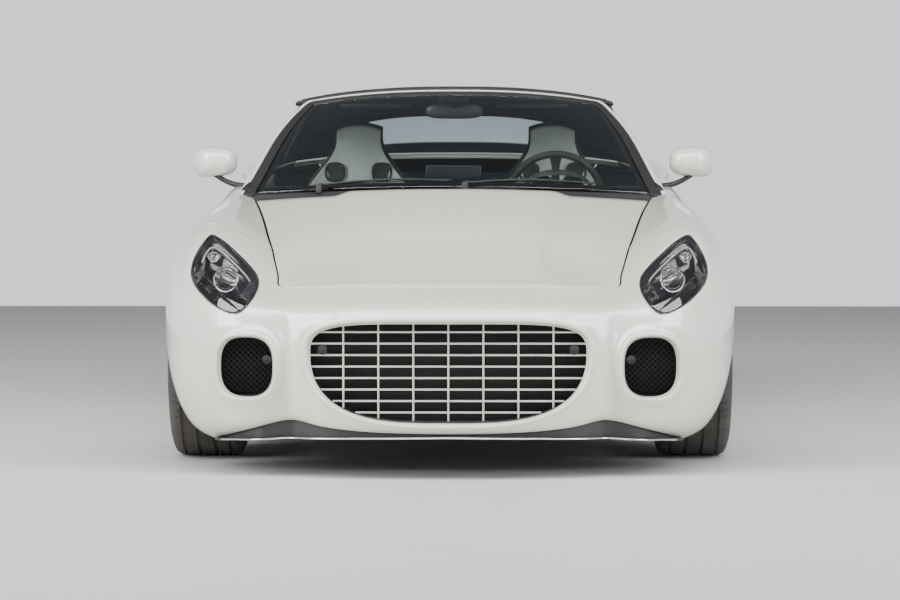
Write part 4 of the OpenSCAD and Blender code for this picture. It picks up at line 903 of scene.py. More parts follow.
def build_top_edges():
    rows = [([glass_x(z / 1000) + 0.022, y / 1000, z / 1000], [0, cy / 1000, cz / 1000]) for y, z, cy, cz in (
        (15, 1252, -100, 1303), (160, 1258, 100, 1314), (330, 1255, 300, 1317), (480, 1238, 480, 1304),
        (556, 1170, 640, 1288), (606, 1085, 780, 1251), (640, 1015, 880, 1212))]
    rows += [(belt(0.668), [0, 0.955, 1.178]), (belt(0.780), [0, 1.028, 1.138]),
             (belt(0.880), [0, 1.096, 1.094]),
             (belt(0.985) - np.array([0.025, 0, -0.006]), [0, 1.160, 1.048])]
    return np.array([[np.asarray(a, float), np.asarray(b, float)] for a, b in rows])


TOP_EDGES = build_top_edges()
TOP_N = len(TOP_EDGES) - 1


def top_row(s, i):
    e, c = TOP_EDGES[i, 0], TOP_EDGES[i, 1]
    return np.stack([s * e[..., 0], c[..., 1] + (e[..., 1] - c[..., 1]) * s * s,
                     c[..., 2] + (e[..., 2] - c[..., 2]) * abs(s) ** 2.7], -1)


def top_at(s, t):
    """The soft top: s runs across it and t from the header to the deck."""
    s, t = np.broadcast_arrays(np.asarray(s, float), np.asarray(t, float))
    i = np.clip(np.floor(t), 0, TOP_N - 1).astype(int)
    a = spline_weights(t - i)
    out = 0
    for k in range(4):
        q = i + k - 1
        point = top_row(s, np.clip(q, 0, TOP_N))
        first = 2 * top_row(s, np.zeros_like(i)) - top_row(s, np.ones_like(i))
        final = 2 * top_row(s, np.full_like(i, TOP_N)) - top_row(s, np.full_like(i, TOP_N - 1))
        point = np.where((q < 0)[..., None], first, np.where((q > TOP_N)[..., None], final, point))
        out = out + a[..., k, None] * point
    return out


def facing_up(points, faces):
    """Faces turned so that their mean normal points up."""
    points = np.asarray(points)
    f = np.array(faces)
    n = np.cross(points[f[:, 1]] - points[f[:, 0]], points[f[:, 3]] - points[f[:, 0]]).sum(0)
    return faces if n[2] > 0 else [tuple(reversed(q)) for q in faces]


def lid_mesh(at, s, t, inset):
    s, t = np.meshgrid(s, t, indexing="ij")
    p = at(s, t)
    p[..., 0] *= 1 - inset / 0.62
    p = p.reshape(-1, 3)
    return p, facing_up(p, quads(*s.shape))


def build_lids(settings):
    s = np.concatenate([line(-1, 1, 84)])
    points, faces = lid_mesh(bonnet_at, s, line(0, 1, 64), GAP)
    mesh_piece("bonnet_skin", points, faces, FINISHES["paint"], "bonnet", ["bonnet"], "paint", 50,
               settings.lid_thickness, 0.0025)
    points, faces = lid_mesh(boot_at, line(-1, 1, 64), line(0, 1, 44), GAP)
    mesh_piece("boot_lid_skin", points, faces, FINISHES["paint"], "boot_lid", ["boot_lid"], "paint", 50,
               settings.lid_thickness, 0.0025)
    build_lid_liners()


def build_lid_liners():
    """Pressed stiffening frames under the two lids."""
    for name, at, body, margin in (("bonnet_frame", bonnet_at, "bonnet", 0.10),
                                   ("boot_lid_frame", boot_at, "boot_lid", 0.12)):
        s, t = np.meshgrid(line(-1 + margin, 1 - margin, 40), line(margin, 1 - margin, 30), indexing="ij")
        p = at(s, t)
        ribs = smooth((np.cos(s * math.pi * 3) - 0.2) * 2) * smooth((np.cos(t * math.pi * 4) - 0.1) * 2)
        p[..., 2] -= 0.0135 + 0.004 * ribs
        p = p.reshape(-1, 3)
        faces = [tuple(reversed(f)) for f in facing_up(p, quads(*s.shape))]
        mesh_piece(name, p, faces, FINISHES["structure"], body, slot="structure", thick=0.0)


def build_deck(settings):
    s = line(-0.985, 0.985, 60)
    front = top_at(s, np.full_like(s, TOP_N)) + np.array([0, -0.018, -0.016])
    rear = boot_at(s, np.zeros_like(s)) + np.array([0, -GAP - 0.001, 0])
    k = line(0, 1, 12)[None, :, None]
    p = front[:, None] + (rear - front)[:, None] * k
    p[..., 2] += 0.0095 * np.sin(np.pi * k[..., 0]) ** 0.8
    p = p.reshape(-1, 3)
    mesh_piece("rear_deck_skin", p, facing_up(p, quads(len(s), 13)), FINISHES["paint"], "chassis",
               ["rear_deck"], "paint", 50, 0.014, 0.003)


# ---- glass ----

def screen_sheet(name, s, t, out, material, nodes=(), thick=0.0, slot="glass", body="chassis"):
    s, t = np.meshgrid(s, t, indexing="ij")
    p = screen(s, t) + out * surface_normal(screen, s, t)
    p = p.reshape(-1, 3)
    faces = facing_up(p, quads(*s.shape))
    return mesh_piece(name, p, faces, material, body, nodes, slot, 60, thick)


def build_glass(settings):
    edge = 0.93
    screen_sheet("windscreen_glass", line(-edge, edge, 60), line(0, 0.955, 36), -0.005, FINISHES["glass"],
                 ["windscreen"], settings.glass_thickness)
    bands = Parts()
    for s, t in ((line(-edge, edge, 60), line(0.0, 0.055, 3)), (line(-edge, edge, 60), line(0.925, 0.955, 2)),
                 (line(-edge, -edge + 0.035, 2), line(0.05, 0.93, 30)),
                 (line(edge - 0.035, edge, 2), line(0.05, 0.93, 30)),
                 (line(-0.10, 0.10, 6), line(0.86, 0.93, 4))):
        s, t = np.meshgrid(s, t, indexing="ij")
        p = (screen(s, t) - 0.0125 * surface_normal(screen, s, t)).reshape(-1, 3)
        bands.add(p, facing_up(p, quads(*s.shape)))
    mesh_piece("windscreen_border", bands.points, bands.faces, FINISHES["gloss"], "chassis",
               slot="black_plastic")
    build_frame()
    build_sails()
    build_door_glass(settings)
    s, t = np.meshgrid(line(-0.5, 0.5, 40), line(5.5, 9.0, 36), indexing="ij")
    p = (top_at(s, t) - 0.004 * surface_normal(top_at, s, t, 0.0, float(TOP_N))).reshape(-1, 3)
    mesh_piece("rear_window_glass", p, facing_up(p, quads(*s.shape)), FINISHES["glass"], "chassis",
               ["rear_window"], "glass", 60, 0.006)


def frame_section(edge, cross):
    """One cross-section of the windscreen frame between an outer and an inner (s, t)."""
    s, t = edge[:, 0, None] * (1 - cross) + edge[:, 2, None] * cross, edge[:, 1, None] * (1 - cross) + edge[:,
        3, None] * cross
    return s, t


def build_frame():
    side = [[1, t, 0.93, t] for t in line(-0.02, 0.94, 30)]
    corner = [[0.998, 0.965, 0.93, 0.948], [0.99, 0.985, 0.928, 0.952], [0.980, 0.996, 0.924, 0.954],
              [0.965, 1, 0.918, 0.955]]
    header = [[s, 1, s, 0.955] for s in line(0.9, -0.9, 50)]
    right = [[-a, b, -c, d] for a, b, c, d in reversed(side)]
    path = np.array(side + corner + header + [[-a, b, -c, d] for a, b, c, d in reversed(corner)] + right)
    cross = line(0, 0.36, 4)[None]
    s, t = frame_section(path, cross)
    n = surface_normal(screen, s, t)
    crown = 0.002 * np.sin(np.pi * cross / 0.36)[..., None]
    p = (screen(s, t) + n * crown).reshape(-1, 3)
    mesh_piece("windscreen_pillars", p, facing_up(p, quads(*s.shape)), FINISHES["paint"], "chassis",
               ["windscreen_frame"], "paint", 50, 0.028, 0.004, 3)
    cross = line(0.36, 1.06, 8)[None]
    s, t = frame_section(path, cross)
    p = (screen(s, t) - 0.002 * surface_normal(screen, s, t)).reshape(-1, 3)
    mesh_piece("windscreen_seal", p, facing_up(p, quads(*s.shape)), FINISHES["seal"], "chassis",
               slot="black_plastic", thick=0.022, bevel=0.002)


def build_sails():
    ys = line(-0.742, HINGE.y - GAP, 12)
    foot = skin(station_of(7.6, ys, 10), np.full_like(ys, 7.6))
    t = (ys + 0.750) / 0.750
    head = screen(np.ones_like(t), t) - np.array([0.004, 0, 0])
    k = line(0, 1, 6)[None, :, None]
    p = foot[:, None] + (head - foot)[:, None] * k
    faces = quads(len(ys), 7)
    n = np.cross(p[6, 3] - p[5, 3], p[5, 4] - p[5, 3])
    faces = faces if n[0] > 0 else [tuple(reversed(f)) for f in faces]
    pair("corner_trim", p.reshape(-1, 3), faces, FINISHES["satin"], "chassis", slot="black_plastic",
         thick=0.022, bevel=0.002)


def glass_top(y):
    pillar = screen(np.ones_like(y), (y + 0.014 + 0.750) / 0.750)[..., 2] - 0.010
    rail = 1.232 - 0.061 * np.clip((y - 0.400) / 0.080, 0, None)
    back = np.where(y > 0.480, 1.210 - 0.270 * np.clip((y - 0.464) / 0.158, 0, None) ** 0.85, 1.232)
    return np.maximum(np.minimum(np.minimum(pillar, rail), back), belt(y)[..., 2] + 0.006)


def build_door_glass(settings):
    ys = np.concatenate([[HINGE.y + 0.006], line(-0.48, 0.44, 40), line(0.45, 0.618, 24)])
    k = line(0, 1, 24)[None]
    top = glass_top(ys)[:, None]
    z = 0.905 + (top - 0.905) * k
    x = glass_x(z) - np.where(z < 0.93, 0.003, 0.0)
    p = np.stack([x, np.broadcast_to(ys[:, None], z.shape), z], -1)
    faces = quads(*z.shape)
    pair("side_glass", p.reshape(-1, 3), faces, FINISHES["glass"], ("door_left", "door_right"),
         ("door_glass_left", "door_glass_right"), slot="glass", shade=60, thick=0.005)


# ---- doors ----

def build_doors(settings):
    v = line(DOOR_LOW, 8, 64)
    k = line(0, 1, 72)[:, None]
    front, back = front_shut(v, 0.0), rear_shut(v, 0.0)
    grid = np.stack([front + (back - front) * k, np.broadcast_to(v, (73, 65))], -1)
    outer = skin(grid[..., 0], grid[..., 1])
    inner = outer.copy()
    inner[..., 0] = np.minimum(DOOR_IN, outer[..., 0] - 0.022)
    inner[..., 1] = np.minimum(np.maximum(outer[..., 1], HINGE.y + 0.004),
                               HINGE.y + math.sqrt((DOOR_LEN - 0.008) ** 2 - (HINGE.x - DOOR_IN) ** 2))
    j = line(0, 1, 64)[None]
    inner[..., 2] = outer[:, :1, 2] + (outer[:, -1:, 2] - 0.012 - outer[:, :1, 2]) * j
    shell = Parts().shell(outer, inner)
    bodies = ("door_left", "door_right")
    pair("door_shell", shell.points, shell.faces, FINISHES["paint"], bodies, ("door_left", "door_right"),
         slot="paint", shade=50, bevel=0.003)
    build_door_cards(inner, bodies)
    ys = line(0.42, 0.56, 20)
    u = station_of(6.2, ys, 12)
    handle = Parts()
    base = skin(u, np.full_like(u, 5.6))
    n = skin_normal(u, np.full_like(u, 5.6))
    swell = np.sin(np.pi * line(0, 1, 20))[:, None] ** 0.5
    handle.tube(base + n * 0.004 * swell, 0.009 * swell[:, 0] + 0.002, 12)
    pair("door_handle", handle.points, handle.faces, FINISHES["paint"], bodies, slot="paint", shade=60)
    ys = line(HINGE.y + 0.02, 0.60, 60)
    strip = belt(ys)
    seal = np.stack([strip + [-0.016, 0, 0.001], strip + [-0.028, 0, 0.012], strip + [-0.036, 0, 0.010],
                     strip + [-0.036, 0, -0.004]], 1)
    faces = quads(len(ys), 4)
    pair("belt_seal", seal.reshape(-1, 3), [tuple(reversed(f)) for f in faces], FINISHES["seal"], bodies,
         slot="black_plastic", shade=60)


def build_door_cards(inner, bodies):
    """Padded inner faces with an armrest, a pull and a speaker."""
    low, high = inner[4:-4, 2, 2].max() + 0.02, 0.905
    y, z = np.meshgrid(line(HINGE.y + 0.05, 0.58, 70), line(low, high, 44), indexing="ij")
    rest = np.exp(-((z - 0.66) / 0.035) ** 2) * smooth((y + 0.35) / 0.15) * smooth((0.50 - y) / 0.10)
    bulge = 0.012 * smooth((z - low) / 0.05) * smooth((high - z) / 0.06) * smooth(
        (y - HINGE.y - 0.05) / 0.06) * smooth((0.58 - y) / 0.06)
    seam = 0.003 * np.exp(-((z - 0.75 - 0.02 * np.sin(3 * y)) / 0.006) ** 2)
    pocket = 0.010 * np.exp(-((z - 0.40) / 0.06) ** 2) * smooth((y + 0.30) / 0.08) * smooth((0.30 - y) / 0.08)
    x = DOOR_IN - 0.0015 - bulge - 0.034 * rest + seam - pocket
    p = np.stack([x, y, z], -1).reshape(-1, 3)
    cards = pair("door_card", p, [tuple(reversed(f)) for f in quads(*y.shape)], FINISHES["slate_hide"], bodies,
                 slot="bulkhead_trim", shade=60)
    pull = Parts()
    a = line(0, 1, 16)
    pull.tube(np.stack([DOOR_IN - 0.03 - 0.03 * np.sin(np.pi * a), -0.05 + 0.22 * a, 0.70 + 0.03 * a], -1),
              0.008, 10)
    pull.lathe([(DOOR_IN - 0.016, 0.0), (DOOR_IN - 0.020, 0.03), (DOOR_IN - 0.016, 0.062),
                (DOOR_IN - 0.010, 0.066),
                (DOOR_IN - 0.004, 0.066)], 40, Matrix.Translation((0, -0.36, 0.42)), closed=False)
    pair("door_pull", pull.points, pull.faces, FINISHES["steel"], bodies, slot="steel", shade=50)


# ---- front lamps and grilles ----

def front_point(x, z, depth=0.0):
    u, v = on_front(x, z)
    return skin(u, v) - depth * skin_normal(u, v)


def outline_patch(outline, rings, scale=1.0):
    """Points that fill a closed outline in rings, with each ring's size from 0 to 1."""
    c = outline.mean(0)
    k = np.linspace(0.02, 1, rings)[:, None, None]
    return c + (outline - c)[None] * k * scale, k[:, 0, 0]


def build_lamps(settings):
    p, size = outline_patch(grown(LAMP, -0.0015), 20)
    cover = front_point(p[..., 0], p[..., 1], 0.001)
    n, m = cover.shape[:2]
    faces = quads(n, m, wrap_m=True) + [tuple(range(m))]
    cover_points = cover.reshape(-1, 3)
    f = np.array(faces[m * 8])
    normal = np.cross(cover_points[f[1]] - cover_points[f[0]], cover_points[f[3]] - cover_points[f[0]])
    outward = faces if normal[1] < 0 else [tuple(reversed(q)) for q in faces]
    pair("headlamp_cover", cover_points, outward, FINISHES["clear"], "chassis",
         ("headlamp_lenses", "headlamp_lenses"), slot="glass", shade=70, thick=0.004)
    middle = LAMP.mean(0)
    axis = front_point(*middle, 0.070) - front_point(*middle, 0.0)
    dish = front_point(p[..., 0], p[..., 1], 0.009) + axis * smooth((1 - size) / 0.4)[:, None, None]
    pair("headlamp_housing", dish.reshape(-1, 3), outward, FINISHES["gloss"], "chassis",
         ("headlamp_bowls", "headlamp_bowls"), slot="lamp_bowl", shade=50, thick=0.003)
    projector, rings, blocks = Parts(), Parts(), Parts()
    for x, z, r in ((0.750, 0.640, 0.042), (0.800, 0.712, 0.020)):
        y = float(front_point(x, z)[1]) + 0.040
        aim = Matrix.Translation((x, y, z)) @ Matrix.Rotation(math.radians(-90), 4, "Z") @ Matrix.Scale(-1, 4,
            (1, 0, 0))
        dome = [(0.012 * (1 - q * q), (r - 0.007) * q) for q in line(0.02, 1, 10)]
        projector.lathe([(-a, b) for a, b in dome], 48, aim, closed=False)
        rings.lathe([(0.0, r - 0.007), (-0.010, r - 0.006), (-0.013, r - 0.003), (-0.010, r),
                     (0.03, r + 0.002)], 64, aim, closed=False)
    pair("headlamp_projector", projector.points, projector.faces, FINISHES["optic"], "chassis", slot="glass",
         shade=60)
    pair("headlamp_ring", rings.points, rings.faces, FINISHES["chrome"], "chassis", slot="steel", shade=50)
    a = line(0, 1, 24)
    path = LAMP[(np.linspace(6, 40, 25).astype(int))]
    inside = grown(path, 0) + (middle - path) * 0.20
    strip = front_point(inside[:, 0], inside[:, 1], 0.020)
    blocks.tube(strip, 0.0035, 8)
    pair("headlamp_day_strip", blocks.points, blocks.faces, FINISHES["amber"], "chassis", slot="glass",
         shade=60)
    build_grille(settings)
    build_intakes(settings)


def clipped_bar(outline, fixed, along_x):
    """Ends of a straight bar across a closed outline at one height or one x."""
    a, b = outline, np.roll(outline, -1, 0)
    i, j = (1, 0) if along_x else (0, 1)
    hits = []
    for p, q in zip(a, b):
        if (p[i] - fixed) * (q[i] - fixed) <= 0 and p[i] != q[i]:
            t = (fixed - p[i]) / (q[i] - p[i])
            hits.append(p[j] + t * (q[j] - p[j]))
    return (min(hits), max(hits)) if len(hits) > 1 else None


def rounded_bar(parts, low, high, vertical, fixed, y, wide, deep):
    """A bar of the egg-crate with a rounded front edge."""
    section = [(-wide / 2, deep), (-wide / 2, 0.002), (-wide / 4, 0), (wide / 4, 0), (wide / 2, 0.002),
               (wide / 2, deep)]
    ends = []
    for e in np.linspace(low, high, 9):
        ends.append([(fixed + a, y + b, e) if vertical else (e, y + b, fixed + a) for a, b in section])
    points = np.array(ends)
    parts.add(points.reshape(-1, 3), quads(9, 6, wrap_m=True) + [tuple(range(6)),
                                                                 tuple(48 + k for k in reversed(range(6)))])


def build_grille(settings):
    inside = grown(GRILLE, -0.006)
    parts = Parts()
    y = -2.206
    for x in [k * settings.bar_spacing for k in range(-3, 4)]:
        ends = clipped_bar(inside, x, False)
        rounded_bar(parts, *ends, True, x, y, settings.bar_width, 0.020)
    for z in [0.479 - 0.038 * k for k in range(8)]:
        ends = clipped_bar(inside, z, True)
        if ends:
            rounded_bar(parts, *ends, False, z, y + 0.0015, settings.bar_width, 0.020)
    mesh_piece("grille_bars", parts.points, parts.faces, FINISHES["paint"], "chassis", ["grille"],
               "grille_white", 50)
    ring = []
    for back, size in ((0.001, 0.002), (0.016, -0.003), (0.060, -0.006), (0.130, -0.006)):
        o = grown(GRILLE, size)
        q = front_point(o[:, 0], o[:, 1])
        q[:, 1] = np.minimum(q[:, 1] + back, -2.06) if back > 0.05 else q[:, 1] + back
        ring.append(q)
    ring = np.array(ring)
    mesh_piece("grille_surround", ring.reshape(-1, 3), quads(4, len(GRILLE), wrap_m=True), FINISHES["satin"],
               "chassis", slot="black_plastic", shade=60)
    sensors = Parts()
    for x in (-0.415, 0.415):
        aim = Matrix.Translation((x, -2.212, 0.421)) @ Matrix.Rotation(math.radians(90), 4, "Z")
        sensors.lathe([(0.030, 0.0165), (0.002, 0.0165), (0, 0.015), (0.001, 0.009), (0.002, 0.0001)], 32, aim,
                      closed=False)
    mesh_piece("grille_sensors", sensors.points, sensors.faces, FINISHES["gloss"], "chassis",
               slot="black_plastic")


def build_intakes(settings):
    mesh = Parts()
    inner = grown(INTAKE, -0.004)
    for k in range(-14, 15):
        for turn in (1, -1):
            # Wires at 45 degrees, clipped to the oval.
            spot = np.array([0.670, 0.362]) + k * 0.0135 * np.array([math.cos(math.radians(45)),
                                                                     -turn * math.sin(math.radians(45))])
            ahead = np.array([math.sin(math.radians(45)) * turn, math.cos(math.radians(45))])
            ts = np.linspace(-0.16, 0.16, 161)
            points = spot + ts[:, None] * ahead
            keep = points[outline_distance(inner, points[:, 0], points[:, 1]) < 0]
            if len(keep) > 3:
                a, b = keep[0], keep[-1]
                mesh.tube([(a[0], -2.035, a[1]), ((a[0] + b[0]) / 2, -2.035, (a[1] + b[1]) / 2),
                           (b[0], -2.035, b[1])], 0.0018, 6)
    pair("intake_mesh", mesh.points, mesh.faces, FINISHES["satin"], "chassis",
         ("intake_meshes", "intake_meshes"),
         slot="black_plastic", shade=60)
    wall = []
    for back, size in ((0.003, 0.001), (0.02, -0.002), (0.05, -0.004)):
        o = grown(INTAKE, size)
        q = front_point(o[:, 0], o[:, 1])
        q[:, 1] += back
        wall.append(q)
    o = grown(INTAKE, -0.004)
    wall.append(np.stack([o[:, 0], np.full(len(o), -1.99), o[:, 1]], -1))
    wall.append(np.stack([0.67 + 0 * o[:, 0], np.full(len(o), -1.985), 0.362 + 0 * o[:, 1]], -1))
    wall = np.array(wall)
    pair("intake_duct", wall.reshape(-1, 3), quads(len(wall), len(o), wrap_m=True), FINISHES["dull"], "chassis",
         slot="black_plastic", shade=60)
    fog = Parts()
    aim = Matrix.Translation((0.608, -2.052, 0.378)) @ Matrix.Rotation(math.radians(90), 4, "Z")
    fog.lathe([(0.016, 0.017), (0.002, 0.017), (0, 0.0155), (0.001, 0.009), (0.002, 0.0001)], 32, aim,
              closed=False)
    pair("intake_sensor", fog.points, fog.faces, FINISHES["gloss"], "chassis", slot="black_plastic")
    back = Parts()
    xs, zs = np.meshgrid(line(-0.50, 0.50, 40), line(0.172, 0.538, 16), indexing="ij")
    p = np.stack([xs, np.full_like(xs, -2.105), zs], -1).reshape(-1, 3)
    back.add(p, [tuple(reversed(f)) for f in quads(*xs.shape)])
    mesh_piece("radiator_face", back.points, back.faces, FINISHES["dull"], "chassis", slot="black_plastic",
               thick=0.005)


# ---- soft top ----

def build_soft_top(settings):
    s = np.concatenate([line(-1, -0.5, 22), line(-0.5, 0.5, 40)[1:], line(0.5, 1, 22)[1:]])
    t = np.concatenate([line(0, 5.5, 46), line(5.5, 9, 30)[1:], line(9, TOP_N, 10)[1:]])
    s2, t2 = np.meshgrid(s, t, indexing="ij")
    p = top_at(s2, t2)
    n = surface_normal(top_at, s2, t2, 0.0, float(TOP_N))
    # The cloth is drawn down a little between its bows.
    bows = 0.0035 * (1 - np.cos(2 * math.pi * t2 / 2.4)) / 2 * (1 - abs(s2) ** 6) * smooth(
        t2 / 0.6) * smooth((5.4 - t2) / 0.5)
    p = p - n * bows[..., None]
    faces = [f for f, (i, k) in zip(quads(*s2.shape),
                                    [(i, k) for i in range(len(s) - 1) for k in range(len(t) - 1)])
             if not (abs(s[i] + s[i + 1]) / 2 < 0.5 and 5.5 < (t[k] + t[k + 1]) / 2 < 9)]
    points = p.reshape(-1, 3)
    faces = facing_up(points, faces)
    used = sorted({i for f in faces for i in f})
    new = {k: i for i, k in enumerate(used)}
    points, faces = points[used], [tuple(new[i] for i in f) for f in faces]
    top = mesh_piece("soft_top_cloth", points, faces, FINISHES["cloth"], "chassis", ["soft_top"],
                     "soft_top_cloth",
                     60, settings.cloth_thickness, 0.001)
    seams = Parts()
    for q in (0.12, 2.4, 4.8):
        a = line(-0.97, 0.97, 60)
        at = top_at(a, np.full_like(a, q)) + 0.0015 * surface_normal(top_at, a, np.full_like(a, q), 0.0,
                                                                     float(TOP_N))
        seams.tube(at, 0.0028, 6)
    for side in (-0.56, 0.56):
        a = line(5.3, 9.2, 40)
        at = top_at(np.full_like(a, side), a) + 0.001 * surface_normal(top_at, np.full_like(a, side), a, 0.0,
            float(TOP_N))
        seams.tube(at, 0.0025, 6)
    mesh_piece("soft_top_seams", seams.points, seams.faces, FINISHES["cloth"], "chassis", slot="soft_top_cloth",
               shade=60)
    hem = Parts()
    a = line(0, 6.9, 60)
    for side in (-1, 1):
        at = top_at(np.full_like(a, side), a) + np.array([0, 0, -0.010])
        hem.tube(at, 0.009, 10)
    a = line(-1, 1, 60)
    hem.tube(top_at(a, np.zeros_like(a)) + np.array([0, -0.004, -0.008]), 0.009, 10)
    edge = mesh_piece("soft_top_hem", hem.points, hem.faces, FINISHES["seal"], "chassis", slot="black_plastic",
                      shade=60)
    return edge


def build_bows(settings):
    """Cross-bows and side links that carry the cloth."""
    bows = Parts()
    for q in (1.2, 3.4, 5.0):
        a = line(-0.93, 0.93, 40)
        t = np.full_like(a, q)
        bows.tube(top_at(a, t) - 0.030 * surface_normal(top_at, a, t, 0.0, float(TOP_N)), 0.011, 10)
    for side in (-0.955, 0.955):
        a = line(0.3, 6.0, 40)
        s = np.full_like(a, side)
        bows.tube(top_at(s, a) - 0.032 * surface_normal(top_at, s, a, 0.0, float(TOP_N)), 0.012, 10)
    mesh_piece("soft_top_bows", bows.points, bows.faces, FINISHES["satin"], "chassis", slot="steel", shade=60)
    s2, t2 = np.meshgrid(line(-0.93, 0.93, 50), line(0.2, 5.3, 40), indexing="ij")
    p = (top_at(s2, t2) - 0.045 * surface_normal(top_at, s2, t2, 0.0, float(TOP_N))).reshape(-1, 3)
    lining = mesh_piece("soft_top_lining", p, [tuple(reversed(f)) for f in facing_up(p, quads(*s2.shape))],
                        FINISHES["carpet"], "chassis", slot="interior_dark", shade=60)


# ---- cabin ----

SEAT_X, SEAT_HALF = HUB.x, 0.235


def seat_width(k):
    base = SEAT_HALF * (0.94 + 0.06 * np.sin(np.pi * np.clip(k / 0.62, 0, 1)))
    narrow = smooth((k - 0.62) / 0.3)
    return np.where(k < 0.62, base, SEAT_HALF * 0.94 + (0.092 - SEAT_HALF * 0.94) * narrow)


def backrest_line(k):
    """How far back the backrest is, from its foot to its head."""
    return 0.525 + 0.030 * k + 0.090 * k * k


def build_seats(settings):
    s, k = np.meshgrid(line(1, -1, 44), line(0, 1, 60), indexing="ij")
    s, k = s.T, k.T
    half = seat_width(k)
    side = abs(s) ** 4
    fold = 0.004 * (np.exp(-((k - 0.33) / 0.012) ** 2) + np.exp(-((k - 0.52) / 0.012) ** 2)
                    + np.exp(-((k - 0.72) / 0.012) ** 2)) * (abs(s) < 0.62)
    piping = 0.006 * np.exp(-((abs(s) - 0.64) / 0.035) ** 2) * (k < 0.82)
    crown = 0.022 * np.cos(np.pi * s / 1.28).clip(0) * (1 - k)
    y = backrest_line(k) - 0.062 * side * (1 - smooth((k - 0.6) / 0.3)) + fold + piping - crown
    z = 0.345 + 0.815 * k - 0.020 * s * s * smooth((k - 0.9) * 10)
    front = np.stack([SEAT_X + s * half, y, z], -1)
    back = np.stack([SEAT_X + s * (half - 0.012), backrest_line(k) + 0.048, z], -1)
    hide = Parts().shell(front, back)
    made = pair("seat_backrest", hide.points, hide.faces, FINISHES["hide"], "chassis",
                ("seat_left", "seat_right"),
                slot="seat_leather", shade=75, subdivide=1)
    low = np.stack([SEAT_X + s * (half + 0.006), backrest_line(k) + 0.040, z + 0.012], -1)
    rear = np.stack([SEAT_X + s * (half + 0.001), backrest_line(k) + 0.074 + 0.038 * (1 - s * s) * (1.2 - k),
                     0.335 + 0.832 * k - 0.018 * s * s * smooth((k - 0.9) * 10)], -1)
    shell = Parts().shell(low, rear)
    pair("seat_shell", shell.points, shell.faces, FINISHES["satin"], "chassis", slot="interior_dark", shade=60)
    s, k = np.meshgrid(line(1, -1, 36), line(0, 1, 40), indexing="ij")
    s, k = s.T, k.T
    side = abs(s) ** 4
    fold = 0.004 * (np.exp(-((k - 0.3) / 0.014) ** 2) + np.exp(-((k - 0.62) / 0.014) ** 2)) * (abs(s) < 0.62)
    top = np.stack([SEAT_X + s * (SEAT_HALF + 0.010), 0.075 + 0.440 * k,
                    0.398 - 0.060 * k - 0.040 * (1 - k) ** 6 + 0.068 * side * np.sin(np.pi * np.minimum(1,
                        k + 0.15))
                    - fold + 0.014 * np.cos(np.pi * s / 1.3).clip(0)], -1)
    under = np.stack([SEAT_X + s * (SEAT_HALF + 0.002), 0.083 + 0.428 * k, 0.255 + 0 * s], -1)
    cushion = Parts().shell(top, under)
    made = pair("seat_cushion", cushion.points, cushion.faces, FINISHES["hide"], "chassis",
                slot="seat_leather", shade=75, subdivide=1)
    fittings = Parts()
    for x in (-0.19, 0.16):
        fittings.box((SEAT_X + x, 0.115, 0.163), (SEAT_X + x + 0.03, 0.555, 0.252))
        for y in (0.145, 0.505):
            fittings.box((SEAT_X + x - 0.006, y - 0.02, 0.1625), (SEAT_X + x + 0.036, y + 0.02, 0.176))
    pair("seat_rails", fittings.points, fittings.faces, FINISHES["steel"], "chassis", slot="steel", bevel=0.002)
    slots = Parts()
    for x in (-0.095, 0.095):
        a = np.arange(28) * 2 * math.pi / 28
        k0 = 0.765
        cz, cy = 0.345 + 0.815 * k0, backrest_line(k0) - 0.014
        rows = []
        for r, d in ((1.0, 0.006), (1.0, -0.004), (0.84, -0.0045), (0.78, 0.004), (0.02, 0.005)):
            rows.append(np.stack([SEAT_X + x + 0.042 * r * np.sign(np.cos(a)) * abs(np.cos(a)) ** 0.7,
                                  cy + d + 0 * a,
                                  cz + 0.040 * r * np.sign(np.sin(a)) * abs(np.sin(a)) ** 0.7], -1))
        slots.grid(np.array(rows), wrap_m=True)
    pair("seat_harness_slots", slots.points, slots.faces, FINISHES["satin"], "chassis", slot="interior_dark",
         shade=50)


DASH_FRONT = [(-0.7155, 0.892), (-0.64, 0.908), (-0.56, 0.918), (-0.45, 0.930), (-0.35, 0.930), (-0.312, 0.918),
              (-0.300, 0.895), (-0.292, 0.83), (-0.286, 0.76), (-0.292, 0.725), (-0.32, 0.685), (-0.36, 0.660),
              (-0.48, 0.640)]


